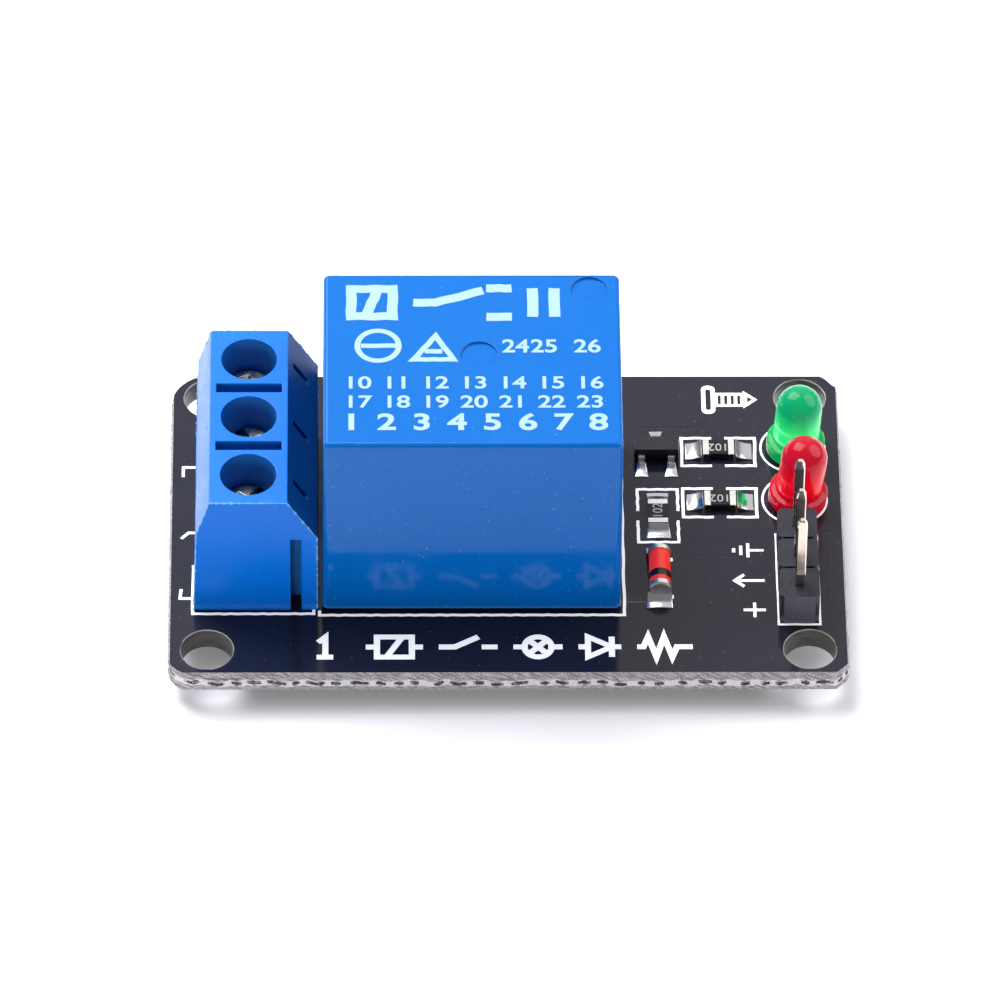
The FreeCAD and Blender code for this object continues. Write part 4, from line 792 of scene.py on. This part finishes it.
def build_relay_print():
    """The pale print on the relay: its coil and contacts as a circuit sign, above rows of plain numbers."""
    coil = [(box_path(-9.9, 3.6, -7.3, 6.0), True), ([(-9.0, 3.6), (-8.2, 6.0)], False)]
    contact = [([(-6.0, 4.8), (-4.6, 4.8), (-1.6, 5.85)], False), ([(-1.4, 6.05), (0.2, 6.05)], False),
               ([(-1.4, 3.55), (0.2, 3.55)], False)]
    bars = [([(1.5, 3.55), (1.5, 6.05)], False), ([(2.9, 3.55), (2.9, 6.05)], False)]
    circle = [(arc(-8.22, 1.04, 1.3, 0, 360, 40)[:-1], True), ([(-9.3, 1.04), (-7.1, 1.04)], False)]
    triangle = [([(-6.0, -0.15), (-3.5, -0.15), (-4.6, 1.9)], True), ([(-5.3, 0.55), (-4.2, 0.55)], False)]
    prints = [draw_lines("relay_signs", coil + contact + bars, 0.66, RELAY_TOP, wobble=0.03),
              draw_lines("relay_marks", circle + triangle, 0.36, RELAY_TOP, wobble=0.02)]
    # Rows of numbers: the first one, the columns' places, the row's place, height, stretch and weight
    columns = [-9.5 + column * 2.42 for column in range(7)]
    rows = ((10, columns, -2.2, 1.02, 1.2, 0.026), (17, columns, -3.85, 1.02, 1.2, 0.026),
            (1, [-9.9 + column * 2.2 for column in range(8)], -5.6, 1.35, 1.25, 0.05),
            (24, (0.4, 2.2, 4.9), 0.95, 1.1, 1.1, 0.03))
    for first, places, y, height, stretch, weight in rows:
        prints += [write_number("relay_number", str(first + i), x, y, RELAY_TOP, height, 0, stretch, weight)
                   for i, x in enumerate(places)]
    finish_piece(join("relay_print", prints), "module", RELAY_INK)


# Plastic housings

def build_housings():
    """Copies of the moulded housings with their edges eased, some faces painted darker as shade and the
    header's torn end painted a lighter grey.
    """
    housings = (("terminal_body", "terminal_housing", "terminal_plastic", 0.07, deepen_lock_groove,
                 ((SHADED_SLOPE_BLUE, is_shaded_slope), (SHADED_RECESS_BLUE, is_shaded_recess))),
                ("header_body", "header_housing", "header_plastic", 0.06, cut_grooves,
                 ((SNAPPED, is_snapped), (GROOVE_SHADE, is_break_line))),
                ("transistor_case", "transistor_body", "transistor_plastic", 0.06, None, ()))
    for name, node, slot, easing, prepare, paints in housings:
        piece = copy_node(name, node)
        if prepare:
            prepare(piece)
        bevel_edges(piece, easing)
        piece.data.materials.clear()
        piece.data.materials.append(MATERIALS[slot])
        edit(piece)
        for material, chosen in paints:
            paint(piece, material, chosen)
        finish_piece(piece, "module", None, [node], 35)


def deepen_lock_groove(terminal):
    """Push the floor of the groove in the terminal's front end further in."""
    floor, depth = -7.04, 0.8
    select(terminal, "verts", lambda v: abs(v.co.y - floor * MM) < 0.02 * MM
           and -13.8 * MM < v.co.x < -13.0 * MM)
    bpy.ops.transform.translate(value=(0, depth * MM, 0))


def is_shaded_slope(face):
    """The terminal's slope beside the relay and the slots in it, painted darker as the shade they lie in,
    since they get little of the room's light.
    """
    middle = face.calc_center_median() / MM
    slope = face.normal.x > 0.5 and face.normal.z > 0.2
    slot = middle.x > -13.86 and abs(middle.y - TERMINAL_MIDDLE) < 7.2
    return middle.z > 9.7 and (slope or slot)


def is_shaded_recess(face):
    """The walls of the terminal's wells and slots and of its lock groove, painted darker and greyer as the
    shade in these recesses.
    """
    middle = face.calc_center_median() / MM
    well = -18.7 < middle.x < -14.0 and abs(middle.y - TERMINAL_MIDDLE) < 7.2 and 10.0 < middle.z < 12.75
    groove = -13.8 < middle.x < -12.7 and -7.48 < middle.y < -5.5 and middle.z < 9.5
    return (well and abs(face.normal.z) < 0.5) or groove


def is_snapped(face):
    """The header's front end, where it was snapped off its strip."""
    return face.normal.y < -0.9 and face.calc_center_median().y < -8.6 * MM


def is_break_line(face):
    """The floor and walls of the grooves between the header's cells, painted dark as the shade in them."""
    middle = face.calc_center_median() / MM
    return middle.z > 5.1 and any(abs(middle.y - y) < 0.09 for y in HEADER_BREAKS)


def cut_grooves(header):
    """Sink the break line between two cells of the header a little into its top."""
    half_width, half_length, depth = 0.07, 0.88, 0.14

    def on_top(face):
        return face.normal.z > 0.9 and face.calc_center_median().z > 5.2 * MM

    for y in HEADER_BREAKS:
        def on_strip(face):
            return on_top(face) and abs(face.calc_center_median().y - y * MM) < 0.06 * MM

        for side in (-half_width, half_width):
            select(header, "faces", on_top)
            bpy.ops.mesh.bisect(plane_co=(0, (y + side) * MM, 0), plane_no=(0, 1, 0), threshold=0.001 * MM)
        for end in (-half_length, half_length):
            select(header, "faces", on_strip)
            bpy.ops.mesh.bisect(plane_co=((HEADER_X + end) * MM, 0, 0), plane_no=(1, 0, 0),
                                threshold=0.001 * MM)
        select(header, "faces", lambda f: on_strip(f)
               and abs(f.calc_center_median().x - HEADER_X * MM) < 0.5 * MM)
        bpy.ops.mesh.extrude_region_move(TRANSFORM_OT_translate={"value": (0, 0, -depth * MM)})


def build_burr():
    """Ragged flash on the outer edges of the terminal's two ends, where the row was cut, painted pale as a
    highlight.
    """
    chance = random.Random(5)
    corners = ((-19.86, 2.95), (-19.61, 10.04), (-18.78, 12.77),
               (-13.92, 12.77), (-12.06, 9.58), (-12.06, 2.95))
    spacing, thickness, drift = 0.13, 0.05, 0.012
    beads = []
    for end in (-7.51, 7.43):
        curve = bpy.data.curves.new("burr_bead", "CURVE")
        curve.dimensions = "3D"
        curve.bevel_depth = thickness * MM
        curve.bevel_resolution = 1
        curve.use_fill_caps = True
        steps = []
        for (x0, z0), (x1, z1) in zip(corners, corners[1:]):
            count = round(math.hypot(x1 - x0, z1 - z0) / spacing)
            steps += [(x0 + (x1 - x0) * i / count, z0 + (z1 - z0) * i / count) for i in range(count)]
        path = curve.splines.new("POLY")
        path.points.add(len(steps) - 1)
        for point, (x, z) in zip(path.points, steps):
            shift = [chance.uniform(-drift, drift) for _ in range(3)]
            point.co = ((x + shift[0]) * MM, (end + shift[1]) * MM, (z + shift[2]) * MM, 1)
            point.radius = 0.45 + 1.6 * chance.random() ** 3
        beads.append(to_mesh(add_object("burr_bead", curve)))
    finish_piece(join("terminal_burr", beads), "module", BURR)


def build_case():
    """The relay's case, with the rims of its two dimples rounded over and the nib in one of them lowered."""
    case = copy_node("relay_case", "relay_cover")
    nib_drop = 0.09

    def reach(point):
        return min(math.hypot(point.x / MM - x, point.y / MM - y) for x, y in RELAY_DIMPLES)

    def on_rim(point):
        return 1.0 < reach(point) < 1.3 and point.z > 17.85 * MM

    select(case, "verts", lambda v: reach(v.co) < 0.6 and 18.0 * MM < v.co.z < 18.04 * MM)
    bpy.ops.transform.translate(value=(0, 0, -nib_drop * MM))
    select(case, "edges", lambda edge: all(on_rim(v.co) for v in edge.verts)
           and len(edge.link_faces) == 2 and edge.calc_face_angle(0) > 0.8)
    bpy.ops.mesh.bevel(offset=0.05 * MM, segments=3)
    finish_piece(case, "module", MATERIALS["relay_plastic"], ["relay_cover"], 35)


def build_screw(number):
    """A terminal screw with its edges rounded over, on its own body."""
    screw = copy_node(f"screw_{number}_turned", f"terminal_screw_{number}")
    bevel_edges(screw, 0.10, 3, 40)
    finish_piece(screw, f"screw_{number}", MATERIALS["screw_metal"],
                 [f"terminal_screw_{number}"], 40)


def build_pin(number, y):
    """A drawn square header pin with broken corners, nicked to a short blunt point at each end."""
    thick, low, high = 0.64, 0.5, 10.7
    bpy.ops.object.select_all(action="DESELECT")
    bpy.ops.mesh.primitive_cube_add(size=1, scale=(thick * MM, thick * MM, (high - low) * MM),
                                    location=(HEADER_X * MM, y * MM, (low + high) / 2 * MM))
    pin = bpy.context.object
    pin.name = f"pin_{number}_cut"
    bpy.ops.object.transform_apply()
    edit(pin)
    select(pin, "edges", lambda edge: abs(edge.verts[0].co.z - edge.verts[1].co.z) > 5 * MM)
    bpy.ops.mesh.bevel(offset=0.07 * MM, segments=1)
    for side in (1, -1):
        select(pin, "faces", lambda f: f.normal.z * side > 0.9)
        for rise, narrowing in ((0.38, 0.56), (0.12, 0.7)):
            bpy.ops.mesh.extrude_region_move(TRANSFORM_OT_translate={"value": (0, 0, side * rise * MM)})
            bpy.ops.transform.resize(value=(narrowing, narrowing, 1),
                                     center_override=(HEADER_X * MM, y * MM, 0))
    pin.data.materials.append(MATERIALS["gold_plate"])
    # The front faces of the middle and back pins, above the header, painted with the dark reflection
    paint(pin, PIN_FACE_SHADE, lambda f: f.normal.y < -0.9 and y > -7 and f.calc_center_median().z > 5 * MM)
    finish_piece(pin, "module", None, [f"header_pin_{number}"])


def lathe(name, rings, centre, segments=40, low_cap=True, high_cap=True):
    """A turned piece in edit mode, from rings (radius, height) in mm round an upright axis."""
    x, y = centre
    radius, height = rings[0]
    bpy.ops.object.select_all(action="DESELECT")
    bpy.ops.mesh.primitive_circle_add(vertices=segments, radius=radius * MM,
                                      location=(x * MM, y * MM, height * MM))
    piece = bpy.context.object
    piece.name = name
    bpy.ops.object.transform_apply()
    edit(piece)
    bpy.ops.mesh.select_mode(type="EDGE")
    bpy.ops.mesh.select_all(action="SELECT")
    if low_cap:
        bpy.ops.mesh.edge_face_add()
        select(piece, "edges", lambda edge: True)
    for next_radius, next_height in rings[1:]:
        bpy.ops.mesh.extrude_edges_move(TRANSFORM_OT_translate={"value": (0, 0, (next_height - height) * MM)})
        scale = next_radius / radius
        bpy.ops.transform.resize(value=(scale, scale, 1), center_override=(x * MM, y * MM, next_height * MM))
        radius, height = next_radius, next_height
    if high_cap:
        bpy.ops.mesh.edge_face_add()
    bpy.ops.mesh.select_all(action="SELECT")
    bpy.ops.mesh.normals_make_consistent(inside=False)
    return piece


def lean(piece, angle, pivot):
    """Tip the piece towards the header's side, in degrees, about a point in mm."""
    bpy.ops.object.mode_set(mode="OBJECT")
    point = Matrix.Translation(Vector(pivot) * MM)
    piece.matrix_world = point @ Matrix.Rotation(math.radians(angle), 4, "Y") @ point.inverted()
    pick(piece)
    bpy.ops.object.transform_apply()


# The status lights

def build_lights():
    """Domed lenses with a flange that is flat on one side, each leaning as it was soldered."""
    base, radius, height = BOARD_TOP + 0.35, 1.475, 5.2
    rings = [(1.80, base), (1.875, base + 0.07), (1.875, base + 0.83), (1.80, base + 0.92),
             (1.58, base + 0.97), (1.50, base + 1.03), (radius, base + 1.2), (radius, base + 2.4)]
    dome = base + height - radius
    rings += [(radius * math.cos(math.radians(a)), dome + radius * math.sin(math.radians(a)))
              for a in (0, 12, 24, 36, 48, 58, 68, 76, 83, 87.5)]
    for name, y, angle in LIGHTS:
        lens = lathe(f"{name}_lens", rings, (LIGHT_X, y), 48)
        bpy.ops.mesh.bisect(plane_co=(0, (y - 1.6) * MM, 0), plane_no=(0, -1, 0), use_fill=True,
                            clear_outer=True)
        lean(lens, angle, (LIGHT_X, y, base))
        finish_piece(lens, "module", MATERIALS[f"led_{name}_epoxy"],
                     [f"led_{name}_lens"], 32)
        for end in ("anode", "cathode"):
            narrow_post(f"{name}_{end}_post", f"led_{name}_{end}", y)


def narrow_post(name, node, y):
    """A copy of a light's lead, its part inside the lens narrowed so that it stays under the skin."""
    post = copy_node(name, node, flat=False)
    select(post, "verts", lambda v: v.co.z > 4.0 * MM)
    bpy.ops.transform.resize(value=(1, 0.86, 1), center_override=(LIGHT_X * MM, y * MM, 0))
    finish_piece(post, "module", MATERIALS["tinned_copper"], [node])


# The surface parts

def build_solder_mounds():
    """Shiny solder on the pads: a hollow slope up to every end cap and foot, drawn out on its pad."""
    # Place, turn in degrees, length, width and height, and how much wider each is at its outer end
    mounds = [(12.02, 6.13, 0, 1.05, 1.45, 0.46, 0.96), (15.25, 6.13, 180, 1.05, 1.45, 0.46, 0.96),
              (12.02, 1.68, 0, 1.05, 1.45, 0.46, 0.96), (15.25, 1.68, 180, 1.05, 1.45, 0.46, 0.96),
              (9.65, -0.96, 90, 0.95, 1.3, 0.46, 1.25), (9.65, 2.06, -90, 0.85, 1.3, 0.46, 1.1),
              (9.6, -7.0, 90, 0.95, 1.55, 0.62, 1.1), (9.6, -2.78, -90, 0.9, 1.5, 0.62, 1.1),
              (8.69, 4.42, 90, 0.95, 0.5, 0.34, 1.75), (10.59, 4.42, 90, 0.95, 0.5, 0.34, 1.75),
              (9.64, 7.46, -90, 0.9, 0.5, 0.34, 1.7)]
    pieces = []
    for number, (x, y, turn, length, width, height, fan) in enumerate(mounds):
        mound = shape_mound(number, length, width, height, fan)
        mound.matrix_world = (Matrix.Translation(Vector((x, y, BOARD_TOP)) * MM)
                              @ Matrix.Rotation(math.radians(turn), 4, "Z"))
        bpy.ops.object.transform_apply()
        pieces.append(mound)
    finish_piece(join("surface_solder", pieces), "module", MATERIALS["solder"],
                 ["solder_surface"], 180)


def shape_mound(number, length, width, height, fan):
    """One mound at the origin: high at +X, sagging down to -X, with a slight crest along its middle."""
    bpy.ops.object.select_all(action="DESELECT")
    bpy.ops.mesh.primitive_cube_add(size=1, scale=(length * MM, width * MM, height * MM),
                                    location=(0, 0, height / 2 * MM))
    mound = bpy.context.object
    mound.name = f"mound_{number}"
    bpy.ops.object.transform_apply()
    edit(mound)
    select(mound, "verts", lambda v: v.co.x < 0)
    bpy.ops.transform.resize(value=(1, fan, 1), center_override=(0, 0, 0))
    select(mound, "verts", lambda v: v.co.x < 0 and v.co.z > 0.5 * height * MM)
    bpy.ops.transform.translate(value=(0, 0, -0.84 * height * MM))
    sags = ((-0.2, 0.19), (0.0, 0.26), (0.2, 0.25), (0.36, 0.13))
    for cut, sag in sags:
        bpy.ops.mesh.select_all(action="SELECT")
        bpy.ops.mesh.bisect(plane_co=(cut * length * MM, 0, 0), plane_no=(1, 0, 0))
    for cut, sag in sags:
        select(mound, "verts", lambda v: abs(v.co.x - cut * length * MM) < 0.01 * MM and v.co.z > 0.1 * MM)
        bpy.ops.transform.translate(value=(0, 0, -sag * height * MM))
    bpy.ops.mesh.select_all(action="SELECT")
    bpy.ops.mesh.bisect(plane_co=(0, 0, 0), plane_no=(0, 1, 0))
    select(mound, "verts", lambda v: abs(v.co.y) < 0.01 * MM and v.co.z > 0.06 * MM)
    bpy.ops.transform.translate(value=(0, 0, 0.12 * height * MM))
    bpy.ops.mesh.select_all(action="SELECT")
    bpy.ops.transform.vertex_random(offset=0.018 * MM, uniform=0.0, normal=1.0, seed=number)
    bevel_edges(mound, 0.05, 2, 40)
    modifier = mound.modifiers.new("soft", "SUBSURF")
    modifier.levels = 2
    modifier.render_levels = 2
    bpy.ops.object.modifier_apply(modifier="soft")
    return mound


def build_diode_band():
    """The black ring printed round the diode's glass at its cathode end."""
    rings = [(0.70, -0.28), (0.702, -0.26), (0.702, 0.26), (0.70, 0.28)]
    band = lathe("diode_band", rings, (0, 0), 40, False, False)
    bpy.ops.object.mode_set(mode="OBJECT")
    band.matrix_world = (Matrix.Translation(Vector((9.64, -5.55, 3.70)) * MM)
                         @ Matrix.Rotation(math.radians(90), 4, "X"))
    bpy.ops.object.transform_apply()
    finish_piece(band, "module", BAND_INK, (), 40)


def build_chip_numbers():
    """Plain numbers on the three resistors."""
    chip_top = BOARD_TOP + 0.49
    numbers = [write_number("chip_number", "102", x, y, chip_top, 0.62, turn)
               for x, y, turn in ((13.64, 1.68, 180), (13.63, 6.13, 180), (9.65, 0.56, 90))]
    finish_piece(join("chip_numbers", numbers), "module", CHIP_INK)


def main():
    aim_camera()
    light_studio()
    lay_floor()
    dress_nodes()
    build_board()
    build_board_print()
    build_tracks()
    build_relay_print()
    build_housings()
    build_burr()
    build_case()
    for number, y in enumerate(HEADER_PINS, 1):
        build_screw(number)
        build_pin(number, y)
    build_lights()
    build_solder_mounds()
    build_diode_band()
    build_chip_numbers()


main()
